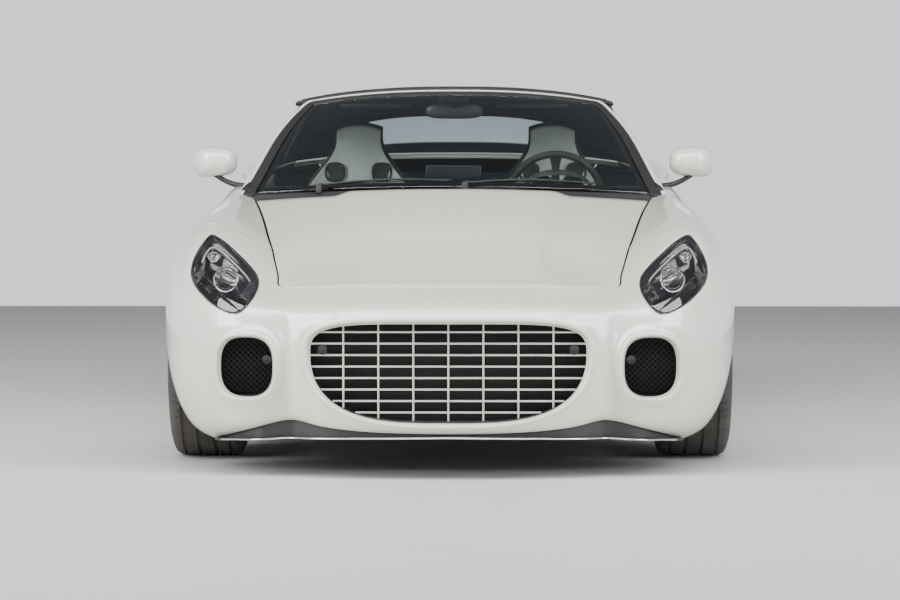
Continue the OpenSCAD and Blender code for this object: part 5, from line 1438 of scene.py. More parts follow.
def build_dash(settings):
    x = line(-0.728, 0.728, 90)
    path = np.array(DASH_FRONT)
    fine = np.stack([np.interp(line(0, 1, 48), np.linspace(0, 1, len(path)), path[:, i]) for i in (0, 1)], -1)
    swell = 0.010 * np.cos(x * 4.2)[:, None] * np.sin(np.pi * line(0, 1, 48))[None]
    p = np.stack([np.broadcast_to(x[:, None], (91, 49)), np.broadcast_to(fine[None, :, 0], swell.shape),
                  fine[None, :, 1] + swell * 0.5], -1)
    p = p.reshape(-1, 3)
    mesh_piece("dash_top", p, facing_up(p, quads(91, 49)), FINISHES["dark_hide"], "chassis", ["dashboard"],
               "interior_dark", 60, 0.014, 0.002)
    hood, face, rims = Parts(), Parts(), Parts()
    a = np.radians(line(-8, 188, 48))
    rings = []
    for y, rx, rz in ((-0.300, 0.133, 0.074), (-0.292, 0.130, 0.071), (-0.300, 0.126, 0.067),
                      (-0.36, 0.121, 0.062), (-0.42, 0.118, 0.056)):
        rings.append(np.stack([SEAT_X + rx * np.cos(a), np.full_like(a, y), 0.915 + rz * np.sin(a)], -1))
    outer = np.stack([SEAT_X + 0.136 * np.cos(a), np.full_like(a, -0.46), 0.912 + 0.060 * np.sin(a)], -1)
    hood.grid(np.array([outer, rings[0]] + rings[1:]))
    mesh_piece("binnacle_hood", hood.points, hood.faces, FINISHES["dark_hide"], "chassis", slot="interior_dark",
               shade=60, thick=0.003)
    for cx in (-0.055, 0.055):
        aim = Matrix.Translation((SEAT_X + cx, -0.352, 0.922)) @ Matrix.Rotation(math.radians(90), 4, "Z")
        rims.lathe([(0, 0.046), (0.006, 0.046), (0.008, 0.043), (0.002, 0.041)], 48, aim)
        face.lathe([(0.0015, 0.041), (0.0015, 0.001)], 48, aim, closed=False)
    mesh_piece("dial_rims", rims.points, rims.faces, FINISHES["chrome"], "chassis", slot="steel", shade=50)
    mesh_piece("dial_faces", face.points, face.faces, FINISHES["gloss"], "chassis", slot="interior_dark")
    vents = Parts()
    for x, z in ((-0.60, 0.845), (-0.11, 0.845), (0.0, 0.845), (0.11, 0.845), (0.62, 0.845)):
        aim = Matrix.Translation((x, -0.290, z)) @ Matrix.Rotation(math.radians(90), 4, "Z")
        vents.lathe([(-0.004, 0.040), (0.006, 0.040), (0.008, 0.036), (0.004, 0.033), (-0.006, 0.032)], 48, aim)
        vents.lathe([(0.006, 0.010), (0.009, 0.008), (0.010, 0.0005)], 24, aim, closed=False)
        for turn in range(6):
            vents.box((-0.004, -0.0015, 0.009), (0.004, 0.0015, 0.033),
                      aim @ Matrix.Rotation(turn * math.pi / 3, 4, "X"))
    mesh_piece("air_vents", vents.points, vents.faces, FINISHES["steel"], "chassis", slot="steel", shade=50)
    display = Parts().box((-0.105, -0.352, 0.928), (0.105, -0.340, 1.005))
    mesh_piece("centre_screen", display.points, display.faces, FINISHES["gloss"], "chassis",
               slot="interior_dark",
               bevel=0.004)
    build_console()
    build_wheel()
    visors = Parts()
    for x in (-0.30, 0.30):
        c = screen(np.array(x / 0.62), np.array(0.93))
        visors.box((x - 0.14, c[1] + 0.035, c[2] - 0.045), (x + 0.14, c[1] + 0.165, c[2] - 0.028))
    made = mesh_piece("sun_visors", visors.points, visors.faces, FINISHES["carpet"], "chassis",
                      slot="interior_dark", bevel=0.007, bevel_segments=3)
    m = screen(np.array(0.0), np.array(0.9))
    centre = np.array([0.0, m[1] + 0.062, m[2] - 0.058])
    body, sight = Parts(), Parts()
    a = np.arange(48) * 2 * math.pi / 48
    shape = np.stack([0.110 * np.sign(np.cos(a)) * abs(np.cos(a)) ** 0.5, 0 * a,
                      0.029 * np.sign(np.sin(a)) * abs(np.sin(a)) ** 0.6], -1)
    rows = [centre + shape * k + np.array([0, d, 0]) for k,
            d in ((0.02, -0.014), (0.6, -0.0135), (0.92, -0.009), (1.0, 0.002), (0.98, 0.011), (0.92, 0.0125))]
    body.grid(np.array(rows), wrap_m=True)
    sight.grid(np.array([centre + shape * 0.93 + [0, 0.0115, 0], centre + shape * 0.02 + [0, 0.0115, 0]]),
               wrap_m=True)
    body.tube([centre + [0, -0.008, 0.010], centre + [0, -0.03, 0.03], [0, m[1] + 0.014, m[2] - 0.014]], 0.007,
              10)
    mesh_piece("cabin_mirror_body", body.points, body.faces, FINISHES["satin"], "chassis", ["interior_mirror"],
               "interior_dark", 50)
    mesh_piece("cabin_mirror_glass", sight.points, sight.faces, FINISHES["mirror"], "chassis", slot="glass")


def build_console():
    y = line(-0.42, BULKHEAD_Y - 0.012, 60)
    height = np.interp(y, [-0.42, -0.30, -0.10, 0.18, 0.24, 0.54, 0.60, 0.90],
                       [0.615, 0.575, 0.485, 0.478, 0.546, 0.550, 0.480, 0.480])
    a = line(-1, 1, 24)
    across = np.sign(a) * abs(a) ** 0.8
    p = []
    for yy, h in zip(y, height):
        x = 0.092 * across
        z = h - 0.012 * abs(a) ** 4 - np.where(abs(a) > 0.98, h - 0.352, 0)
        p.append(np.stack([x, np.full_like(x, yy), z], -1))
    p = np.array(p)
    flat = p.reshape(-1, 3)
    mesh_piece("console_cover", flat, facing_up(flat, quads(*p.shape[:2])), FINISHES["dark_hide"], "chassis",
               ["centre_console"], "interior_dark", 50, 0.008, 0.002)
    parts = Parts()
    parts.tube([(0, -0.02, 0.478), (0, -0.015, 0.52), (0, -0.012, 0.562)], [0.013, 0.009, 0.008], 16)
    knob = Matrix.Translation((0, -0.012, 0.578)) @ Matrix.Rotation(math.radians(90), 4, "Y")
    parts.lathe([(-math.cos(q) * 0.024, max(0.0004, math.sin(q) * 0.021)) for q in line(0, math.pi, 12)], 24,
                knob, closed=False)
    for x in (-0.05, 0.05):
        aim = Matrix.Translation((x, 0.10, 0.478)) @ Matrix.Rotation(math.radians(-90), 4, "Y")
        parts.lathe([(0, 0.018), (0.014, 0.017), (0.015, 0.012), (0.015, 0.0004)], 32, aim, closed=False)
    mesh_piece("gear_lever", parts.points, parts.faces, FINISHES["steel"], "chassis", slot="steel", shade=45)


def build_wheel():
    place = Matrix.Translation(HUB) @ Matrix.Rotation(math.radians(-68), 4, "X")
    rim_points = []
    a = np.arange(96) * 2 * math.pi / 96
    b = np.arange(16) * 2 * math.pi / 16
    for q in a:
        swell = 0.0150 + 0.0022 * (math.exp(-((q - 0.55) / 0.22) ** 2)
                                   + math.exp(-((q - math.pi + 0.55) / 0.22) ** 2))
        r = 0.178 + swell * np.cos(b) * 0.92
        rim_points.append(np.stack([r * math.cos(q), r * math.sin(q), swell * np.sin(b)], -1))
    grip = Parts().grid(np.array([[place @ Vector(p) for p in row] for row in rim_points]), True, True)
    mesh_piece("steering_rim", grip.points, grip.faces, FINISHES["dark_hide"], "steering_wheel",
               ["steering_wheel"],
               "interior_dark", 60)
    spokes, pad = Parts(), Parts()
    for turn in (0, 180, 270):
        m = place @ Matrix.Rotation(math.radians(turn), 4, "Z")
        rows = []
        for q in line(0, 1, 10):
            half = 0.026 - 0.012 * math.sin(math.pi * q)
            x, z = 0.045 + 0.122 * q, -0.004 + 0.006 * q
            rows.append([m @ Vector(p) for p in ((x, -half, z), (x, -half, z + 0.007), (x, 0, z + 0.010),
                                                 (x, half, z + 0.007), (x, half, z), (x, 0, z - 0.003))])
        spokes.grid(np.array(rows), wrap_m=True)
    mesh_piece("steering_spokes", spokes.points, spokes.faces, FINISHES["steel"], "steering_wheel",
               slot="steel", shade=45)
    hub = place @ Matrix.Rotation(math.radians(-90), 4, "Y")
    pad.lathe([(-0.030, 0.026), (-0.010, 0.040), (-0.008, 0.060), (0.008, 0.064), (0.020, 0.056),
               (0.026, 0.036), (0.028, 0.0005)], 64, hub, closed=False)
    mesh_piece("steering_pad", pad.points, pad.faces, FINISHES["dark_hide"], "steering_wheel",
               slot="interior_dark", shade=40)


def build_cabin_walls(settings):
    x, z = np.meshgrid(line(-0.735, 0.735, 70), line(0.17, 0.958, 44), indexing="ij")
    pad = smooth((0.20 - abs(x)) / 0.02) * smooth((z - 0.62) / 0.02) * smooth((0.93 - z) / 0.02)
    groove = 0.003 * (np.exp(-((abs(x) - 0.42) / 0.006) ** 2) + np.exp(-((z - 0.60) / 0.006) ** 2))
    y = BULKHEAD_Y - 0.003 - 0.020 * pad + groove - 0.004
    p = np.stack([x, y, z], -1).reshape(-1, 3)
    f = quads(*x.shape)
    n = np.cross(p[f[5][1]] - p[f[5][0]], p[f[5][3]] - p[f[5][0]])
    made = mesh_piece("bulkhead_trim", p, f if n[1] < 0 else [tuple(reversed(q)) for q in f],
                      FINISHES["slate_hide"],
                      "chassis", slot="bulkhead_trim", shade=50)
    mats = Parts()
    for side in (-1, 1):
        x, y = np.meshgrid(line(0.16, 0.72, 30), line(-0.70, 0.10, 36), indexing="ij")
        z = 0.166 + 0.10 * smooth((-0.45 - y) / 0.22) + 0.002 * np.cos(x * 60) * np.cos(y * 50)
        q = np.stack([side * x, y, z], -1).reshape(-1, 3)
        mats.add(q, facing_up(q, quads(*x.shape)))
    mesh_piece("floor_mats", mats.points, mats.faces, FINISHES["carpet"], "chassis", slot="interior_dark",
               shade=60)


# ---- wheels ----

def tyre_mesh(half, radius):
    """A tyre about X at the origin, with grooves round it and blocks at its shoulders."""
    rim_r = 0.258
    side = [(half - 0.022, rim_r), (half - 0.012, rim_r + 0.006), (half - 0.008, rim_r + 0.012),
            (half - 0.003, rim_r + 0.022),
            (half, rim_r + 0.034), (half - 0.0005, rim_r + 0.040), (half - 0.003, rim_r + 0.0405),
            (half - 0.0025, rim_r + 0.047),
            (half - 0.005, rim_r + 0.056), (half - 0.009, radius - 0.020), (half - 0.013, radius - 0.012)]
    tread = [(half - 0.019, radius - 0.008), (half - 0.025, radius - 0.004), (half - 0.034, radius - 0.002)]
    inner = []
    for x in (0.62, 0.22):
        c = half * x
        inner += [(c + 0.006, radius - 0.0006), (c + 0.0045, radius - 0.007), (c - 0.0045, radius - 0.007),
                  (c - 0.006, radius - 0.0006)]
    right = side + tread + inner
    profile = right + [(-x, r) for x, r in reversed(right)]
    count, sides = len(profile), 216
    angle = np.arange(sides) * 2 * math.pi / sides
    r = np.array([q[1] for q in profile])[None] * np.ones((sides, 1))
    shoulder = np.array([abs(q[0]) > half * 0.66 and q[1] > radius - 0.0125 for q in profile])
    notch = (np.arange(sides) % 3 == 0)[:, None] & shoulder[None]
    r = r - 0.0045 * notch
    x = np.array([q[0] for q in profile])[None] * np.ones((sides, 1))
    p = np.stack([x, r * np.cos(angle)[:, None], r * np.sin(angle)[:, None]], -1)
    faces = quads(sides, count, wrap_n=True)
    return p.reshape(-1, 3), [tuple(reversed(f)) for f in faces]


def rim_mesh(half):
    """Barrel and ten paired spokes of an alloy wheel about X, with its outer face at +X."""
    rim_r = 0.258
    parts = Parts()
    parts.lathe([(half - 0.021, rim_r - 0.0005), (half - 0.013, rim_r - 0.001), (half - 0.012, rim_r - 0.006),
                 (half - 0.024, rim_r - 0.012), (half - 0.060, rim_r - 0.018), (-half + 0.040, rim_r - 0.020),
                 (-half + 0.014, rim_r - 0.008), (-half + 0.016, rim_r - 0.001), (-half + 0.040, rim_r - 0.012),
                 (half - 0.060, rim_r - 0.010), (half - 0.030, rim_r - 0.005)], 144)
    face = half - 0.030
    for spoke in range(10):
        base = spoke * 36 + (6 if spoke % 2 else -6)
        rows = []
        for q in line(0, 1, 12):
            r = 0.050 + (rim_r - 0.020 - 0.050) * q
            lean = math.radians(base + (5 if spoke % 2 else -5) * (1 - q))
            wide = 0.0125 - 0.0035 * math.sin(math.pi * q) + 0.004 * q**4
            x = face - 0.016 * (1 - q) ** 2 - 0.008 * q**3
            deep = 0.024 - 0.006 * q
            along, across = np.array([math.cos(lean), math.sin(lean)]), np.array([-math.sin(lean),
                math.cos(lean)])
            section = [(x - deep, -wide * 0.8), (x - 0.004, -wide), (x, -wide * 0.6), (x, wide * 0.6),
                       (x - 0.004, wide), (x - deep, wide * 0.8)]
            rows.append([(a, *(along * r + across * b)) for a, b in section])
        parts.grid(np.array(rows), wrap_m=True)
    parts.lathe([(face - 0.050, 0.058), (face - 0.016, 0.068), (face - 0.008, 0.064), (face - 0.008, 0.036),
                 (face - 0.014, 0.034), (face - 0.014, 0.030), (face - 0.006, 0.029), (face - 0.003, 0.024),
                 (face - 0.002, 0.0005)],
                72, closed=False)
    for k in range(5):
        a = math.radians(72 * k + 18)
        place = Matrix.Translation((0, 0.049 * math.cos(a), 0.049 * math.sin(a)))
        parts.lathe([(face - 0.012, 0.0085), (face - 0.002, 0.0085), (face, 0.0065), (face - 0.001, 0.004),
                     (face - 0.001, 0.0003)], 6, place, closed=False)
    parts.lathe([(-half + 0.09, 0.060), (face - 0.045, 0.060)], 48, closed=False)
    return parts


def disc_mesh(middle):
    disc = Parts()
    disc.lathe([(middle - 0.014, 0.188), (middle - 0.0135, 0.190), (middle - 0.004, 0.190),
                (middle - 0.004, 0.186), (middle + 0.004, 0.186),
                (middle + 0.004, 0.190), (middle + 0.0135, 0.190), (middle + 0.014, 0.188),
                (middle + 0.014, 0.118), (middle + 0.040, 0.112),
                (middle + 0.040, 0.062), (middle - 0.014, 0.062)], 120)
    # Dark caps just proud of the disc face stand in for the drilled holes: painted shade, not openings.
    holes = Parts()
    for ring, (r, count) in enumerate(((0.130, 24), (0.148, 24), (0.166, 24), (0.180, 24))):
        for k in range(count):
            a = 2 * math.pi * (k + ring * 0.27) / count
            holes.lathe([(middle + 0.0145, 0.0034), (middle + 0.0145, 0.0002)], 8,
                        Matrix.Translation((0, r * math.cos(a), r * math.sin(a))), closed=False)
    return disc, holes


def build_wheels(settings):
    for end, centre, half in (("front", FRONT_WHEEL, 0.1275), ("rear", REAR_WHEEL, 0.1525)):
        bodies = ("wheel_%s_left" % end, "wheel_%s_right" % end)
        move = np.array(centre)
        points, faces = tyre_mesh(half, TYRE_R)
        pair("tyre_" + end, points + move, faces, FINISHES["rubber"], bodies,
             ("tyre_%s_left" % end, "tyre_%s_right" % end), slot="rubber_tyre", shade=28)
        wheel = rim_mesh(half)
        pair("wheel_" + end, np.array(wheel.points) + move, wheel.faces, FINISHES["alloy"], bodies,
             ("rim_%s_left" % end, "rim_%s_right" % end), slot="alloy_wheel", shade=35)
        disc, holes = disc_mesh(half - 0.144)
        pair("brake_disc_" + end, np.array(disc.points) + move, disc.faces, FINISHES["steel"], bodies,
             slot="steel", shade=30)
        # Painted shade of the drilled holes, in dark caps on the disc face.
        pair("brake_disc_holes_" + end, np.array(holes.points) + move, holes.faces, FINISHES["dull"], bodies,
             slot="steel")
        valve = Parts()
        valve.tube([(half - 0.030, 0.0, -0.238), (half - 0.016, 0.0, -0.231), (half - 0.010, 0, -0.229)], 0.004,
                   8)
        pair("tyre_valve_" + end, np.array(valve.points) + move, valve.faces, FINISHES["satin"], bodies,
             slot="black_plastic")


# ---- tail ----

def tail_point(x, z, depth=0.0):
    u, v = on_tail(x, z)
    return skin(u, v) - depth * skin_normal(u, v)


def build_tail(settings):
    red, rims, clear = Parts(), Parts(), Parts()
    for x, z, r in TAIL_LAMPS:
        for part, profile in ((red, [(1.0 * r - 0.001, 0.001), (0.97 * r, -0.002), (0.80 * r, -0.006),
                                     (0.66 * r, -0.004)]),
                              (clear, [(0.52 * r, -0.004), (0.30 * r, -0.007), (0.02 * r, -0.008)]),
                              (rims, [(0.66 * r, -0.0045), (0.62 * r, -0.009), (0.56 * r, -0.009),
                                      (0.52 * r, -0.0045)])):
            rows = []
            for radius, depth in profile:
                o = oval(x, z, radius, radius, 64)
                rows.append(tail_point(o[:, 0], o[:, 1], depth))
            part.grid(np.array(rows), wrap_m=True)
        rows = []
        for radius, depth in ((r - 0.0005, 0.0), (r - 0.0015, 0.03), (0.02, 0.034)):
            o = oval(x, z, radius, radius, 64)
            rows.append(tail_point(o[:, 0], o[:, 1], depth))
        rims.grid(np.array(rows), wrap_m=True)
    pair("tail_lamp_lens", red.points, red.faces, FINISHES["red"], "chassis", ("tail_lamps", "tail_lamps"),
         slot="lamp_red", shade=50)
    pair("tail_lamp_rim", rims.points, rims.faces, FINISHES["gloss"], "chassis", slot="black_plastic", shade=50)
    pair("tail_lamp_centre", clear.points, clear.faces, FINISHES["amber"], "chassis", slot="lamp_red", shade=50)
    tips = Parts()
    for x in (0.340, 0.440):
        aim = Matrix.Translation((x, 0, 0.268)) @ Matrix.Rotation(math.radians(90), 4, "Z")
        tips.lathe([(1.96, 0.038), (2.225, 0.040), (2.236, 0.044), (2.242, 0.0455), (2.246, 0.043),
                    (2.240, 0.0395), (2.225, 0.037), (1.98, 0.036)], 64, aim)
    pair("exhaust_tip", tips.points, tips.faces, FINISHES["chrome"], "chassis", slot="steel", shade=40)
    # A dark disc set inside each tip closes the pipe: painted shade of the pipe's depth, along with its real soot.
    bore_soot_and_shade = Parts()
    for x in (0.340, 0.440):
        aim = Matrix.Translation((x, 0, 0.268)) @ Matrix.Rotation(math.radians(90), 4, "Z")
        bore_soot_and_shade.lathe([(2.10, 0.036), (2.10, 0.001)], 48, aim, closed=False)
    pair("exhaust_bore", bore_soot_and_shade.points, bore_soot_and_shade.faces, FINISHES["dull"], "chassis", slot="steel")
    k, s = np.meshgrid(line(0, 1, 50), line(-1, 1, 60), indexing="ij")
    lift = 0.088 * np.maximum(0, (k - 0.45) / 0.55) ** 1.4
    y = BULKHEAD_Y + 0.014 + (2.225 - BULKHEAD_Y - 0.014) * k
    p = np.stack([s * 0.560, y, 0.152 + lift + 0.0015 * np.cos(s * 90)], -1).reshape(-1, 3)
    mesh_piece("diffuser_tray", p, facing_up(p, quads(*k.shape)), FINISHES["satin"], "chassis", ["diffuser"],
               "black_plastic", 50, 0.005, 0.001)
    fins = Parts()
    for x in np.arange(-0.42, 0.421, 0.14):
        rows = []
        for q in line(0, 1, 16):
            yy = 1.70 + 0.51 * q
            roof = 0.152 + 0.088 * max(0,
                                       ((yy - BULKHEAD_Y - 0.014) / (2.225 - BULKHEAD_Y - 0.014) - 0.45) / 0.55) ** 1.4
            low = 0.150 + 0.028 * q
            rows.append([(x - 0.003, yy, roof), (x - 0.002, yy, low + 0.002), (x, yy, low),
                         (x + 0.002, yy, low + 0.002), (x + 0.003, yy, roof)])
        fins.grid(np.array(rows))
        fins.faces.append(tuple(len(fins.points) - 5 + i for i in range(5)))
    mesh_piece("diffuser_fins", fins.points, fins.faces, FINISHES["satin"], "chassis", slot="black_plastic",
               shade=50)
    plate = Parts().box((-0.262, 2.272, 0.560), (0.262, 2.316, 0.676))
    mesh_piece("plate_holder", plate.points, plate.faces, FINISHES["satin"], "chassis", ["plate_carrier"],
               "black_plastic", bevel=0.006, bevel_segments=3)
    blank = Parts().box((-0.255, 2.3155, 0.567), (0.255, 2.3175, 0.669))
    mesh_piece("blank_plate", blank.points, blank.faces, FINISHES["amber"], "chassis", slot="black_plastic",
               bevel=0.0008)
    bolts = Parts()
    for x in (-0.089, 0.089):
        aim = Matrix.Translation((x, 2.3172, 0.618)) @ Matrix.Rotation(math.radians(90), 4, "Z")
        bolts.lathe([(0, 0.0065), (0.002, 0.006), (0.0028, 0.003), (0.0022, 0.0004)], 20, aim, closed=False)
    mesh_piece("plate_screws", bolts.points, bolts.faces, FINISHES["steel"], "chassis", slot="steel")
    strip = Parts()
    xs = line(-0.34, 0.34, 40)
    strip.tube(tail_point(xs, np.full_like(xs, 0.905), -0.001), 0.005, 8)
    mesh_piece("high_brake_lamp", strip.points, strip.faces, FINISHES["red"], "chassis", slot="lamp_red",
               shade=60)


# ---- outside trim ----

def build_trim(settings):
    mirror, arm, sight = Parts(), Parts(), Parts()
    a, b = np.arange(56) * 2 * math.pi / 56, line(0, 1, 26)
    rows = []
    for q in b:
        y = -0.522 + 0.094 * q
        size = math.sqrt(max(0.0, 1 - (1 - min(1,
                                               q / 0.82)) ** 2.2)) if q < 0.82 else 1 - 0.03 * ((q - 0.82) / 0.18) ** 2
        x = 0.899 + 0.082 * size * np.sign(np.cos(a)) * abs(np.cos(a)) ** 0.55 - 0.010 * (1 - q)
        z = 1.022 + 0.056 * size * np.sign(np.sin(a)) * abs(np.sin(a)) ** 0.72 + (
            0.008 * size * np.cos(a) * np.sin(a))
        rows.append(np.stack([x, np.full_like(x, y), z], -1))
    mirror.grid(np.array(rows), wrap_m=True)
    last = rows[-1]
    c = last.mean(0)
    mirror.grid(np.array([last, c + (last - c) * 0.93, c + (last - c) * 0.91 + [0, -0.012, 0]]), wrap_m=True)
    points = np.array(mirror.points)
    pair("door_mirror_housing", points, mirror.faces, FINISHES["paint"], ("door_left", "door_right"),
         ("mirror_left", "mirror_right"), slot="paint", shade=60)
    sight.grid(np.array([c + (last - c) * 0.925 + [0, -0.010, 0], c + (last - c) * 0.02 + [0, -0.010, 0]]),
               wrap_m=True)
    pair("door_mirror_glass", sight.points, sight.faces, FINISHES["mirror"], ("door_left", "door_right"),
         slot="glass")
    for start, end, wide in (((0.775, -0.478, 0.930), (0.905, -0.462, 0.978), 0.016),):
        rows = []
        for q in line(0, 1, 16):
            p = np.array(start) * (1 - q) + np.array(end) * q
            p[2] += 0.012 * math.sin(math.pi * q) * -1
            w = wide * (1.7 - 0.9 * q)
            rows.append(np.stack([p[0] + 0.0 * a[::3], p[1] + w * np.cos(a[::3]),
                                  p[2] + 0.011 * np.sin(a[::3])], -1))
        arm.grid(np.array(rows), wrap_m=True)
        arm.faces.append(tuple(range(len(rows[0]))))
        arm.faces.append(tuple(len(arm.points) - 1 - k for k in range(len(rows[0]))))
    pair("door_mirror_arm", arm.points, arm.faces, FINISHES["satin"], ("door_left", "door_right"),
         slot="black_plastic", shade=50)
    build_splitter()
    build_cowl()
    build_wipers()
    build_side_vents()


def build_splitter():
    """A flat blade under the nose, with a dark apron up to the skin."""
    u = line(-5.9, 5.9, 160)
    n = skin_normal(u, np.full_like(u, 0.6))
    n[:, 2] = 0
    n /= np.linalg.norm(n, axis=1, keepdims=True)
    low = skin(u, np.zeros_like(u))
    z = np.interp(abs(low[:, 0]), [0, 0.30, 0.55, 0.70, 0.785], [0.143, 0.139, 0.131, 0.121, 0.109])
    section = [(-0.090, 0.0), (-0.045, 0), (-0.008, 0), (0.008, 0), (0.014, -0.002), (0.016, -0.005),
               (0.015, -0.008),
               (0.010, -0.010), (-0.045, -0.010), (-0.090, -0.010)]
    rows = np.array([[[*(p[:2] + d * m[:2]), h + dz] for d, dz in section] for p, m, h in zip(low, n, z)])
    mesh_piece("splitter_blade", rows.reshape(-1, 3), quads(len(u), len(section), wrap_m=True),
               FINISHES["satin"],
               "chassis", ["splitter"], "black_plastic", 50)
    apron = np.array([[[*(p[:2] - 0.012 * m[:2]), h - 0.002], [*(p[:2] - 0.014 * m[:2]), (h + p[2] + 0.03) / 2],
                       [*(p[:2] - 0.016 * m[:2]), max(h, p[2]) + 0.03]] for p, m, h in zip(low, n, z)])
    mesh_piece("splitter_apron", apron.reshape(-1, 3), quads(len(u), 3), FINISHES["satin"], "chassis",
               slot="black_plastic", shade=60)
    edge = Parts()
    inside = abs(u) < 5.5
    edge.tube(np.array([[*(p[:2] + 0.0160 * m[:2]), h - 0.0055] for p, m, h in zip(low, n, z)])[inside], 0.0026,
              8)
    mesh_piece("splitter_bright_edge", edge.points, edge.faces, FINISHES["chrome"], "chassis", slot="steel",
               shade=60)


def build_cowl():
    s = line(-1, 1, 90)
    f = bonnet_at(s, np.ones_like(s)) + np.array([0, 0.008, -0.012])
    r = screen(0.985 * s, np.zeros_like(s))
    k = line(0, 1, 10)[None, :, None]
    p = f[:, None] + (r - np.array([0, 0, 0.010]) - f)[:, None] * k
    p[..., 2] -= 0.010 * np.sin(np.pi * k[..., 0]) + 0.0012 * np.cos(s * 260)[:,
        None] * smooth(np.sin(np.pi * k[..., 0]) * 2)
    p = p.reshape(-1, 3)
    mesh_piece("cowl_grille", p, facing_up(p, quads(len(s), 11)), FINISHES["satin"], "chassis", ["cowl"],
               "black_plastic", 50, 0.008)


def build_wipers():
    parts, blades = Parts(), Parts()
    for x in (-0.62, 0.06):
        a = screen(np.array(x), np.array(0.012)) + np.array([0, -0.014, 0.014])
        q = line(0, 1, 20)
        along = screen(x + 0.6 * q, 0.012 + 0.018 * q + 0.012 * np.sin(np.pi * q))
        normal = surface_normal(screen, x + 0.6 * q, 0.02 + 0.01 * q)
        arm = along + normal * (0.010 + 0.006 * np.sin(np.pi * q))[:, None]
        arm[0] = a
        parts.tube(arm, 0.0048 - 0.002 * q, 8)
        s = np.linspace(x - 0.02, x + 0.62, 30)
        t = 0.020 + 0.022 * np.linspace(0, 1, 30) + 0.004
        base = screen(s, t) + 0.006 * surface_normal(screen, s, t)
        blades.tube(base, 0.0026, 6)
        aim = Matrix.Translation(Vector(a) - Vector((0, 0.004, 0.012))) @ Matrix.Rotation(math.radians(-90), 4,
            "Y")
        parts.lathe([(-0.02, 0.012), (0.004, 0.012), (0.010, 0.009), (0.012, 0.001)], 24, aim, closed=False)
    mesh_piece("wiper_arms", parts.points, parts.faces, FINISHES["satin"], "chassis", ["wipers"],
               "black_plastic", 50)
    mesh_piece("wiper_blades", blades.points, blades.faces, FINISHES["seal"], "chassis", slot="black_plastic",
               shade=60)


def build_side_vents():
    """Slim outlets behind the front wheels, with two blades."""
    vent, blades = Parts(), Parts()
    y, v = np.meshgrid(line(-0.86, -0.66, 20), line(3.6, 4.5, 12), indexing="ij")
    v = v - 0.5 * (y + 0.76)
    u = station_of(v, y, 9.5)
    base, n = skin(u, v), skin_normal(u, v)
    vent.grid(base + n * 0.0012)
    f = np.array(vent.faces[10])
    p = np.array(vent.points)
    if np.cross(p[f[1]] - p[f[0]], p[f[3]] - p[f[0]])[0] < 0:
        vent.faces = [tuple(reversed(q)) for q in vent.faces]
    pair("side_vent", vent.points, vent.faces, FINISHES["satin"], "chassis", slot="black_plastic", shade=60)
    for row in (3.85, 4.25):
        ys = line(-0.85, -0.67, 24)
        vs = row - 0.5 * (ys + 0.76)
        us = station_of(vs, ys, 9.5)
        blades.tube(skin(us, vs) + 0.004 * skin_normal(us, vs), 0.004, 8)
    pair("side_vent_blade", blades.points, blades.faces, FINISHES["steel"], "chassis", slot="steel", shade=60)


# ---- pieces kept from the solid model ----

KEPT = {
    "floor_pan": "structure", "firewall": "structure", "front_structure": "structure",
    "rear_structure": "structure", "boot_tub": "carpet", "rear_bulkhead": "slate_hide",
    "wheel_liners": "dull", "front_suspension": "cast", "rear_suspension": "cast", "powertrain": "cast",
    "knuckle_left": "caliper", "knuckle_right": "caliper", "exhaust": "steel", "steering_column": "satin",
}


def dress_kept(settings):
    for name, finish in KEPT.items():
        obj = frame["nodes"][name]
        obj.data.materials.clear()
        obj.data.materials.append(FINISHES[finish])
        edge = obj.modifiers.new("Worn edges", "BEVEL")
        edge.width = 0.0018
        edge.segments = 1
        edge.limit_method = "ANGLE"
        edge.angle_limit = math.radians(45)


# ---- stage ----

def soft_light(name, spot, target, size, power, tint=(1, 1, 1)):
    data = bpy.data.lights.new(name, "AREA")
    data.shape = "RECTANGLE"
    data.size, data.size_y = size
    data.energy = power
    data.color = tint
    obj = bpy.data.objects.new(name, data)
    obj.location = spot
    obj.rotation_euler = (Vector(target) - Vector(spot)).to_track_quat("-Z", "Y").to_euler()
    bpy.context.scene.collection.objects.link(obj)
    return obj


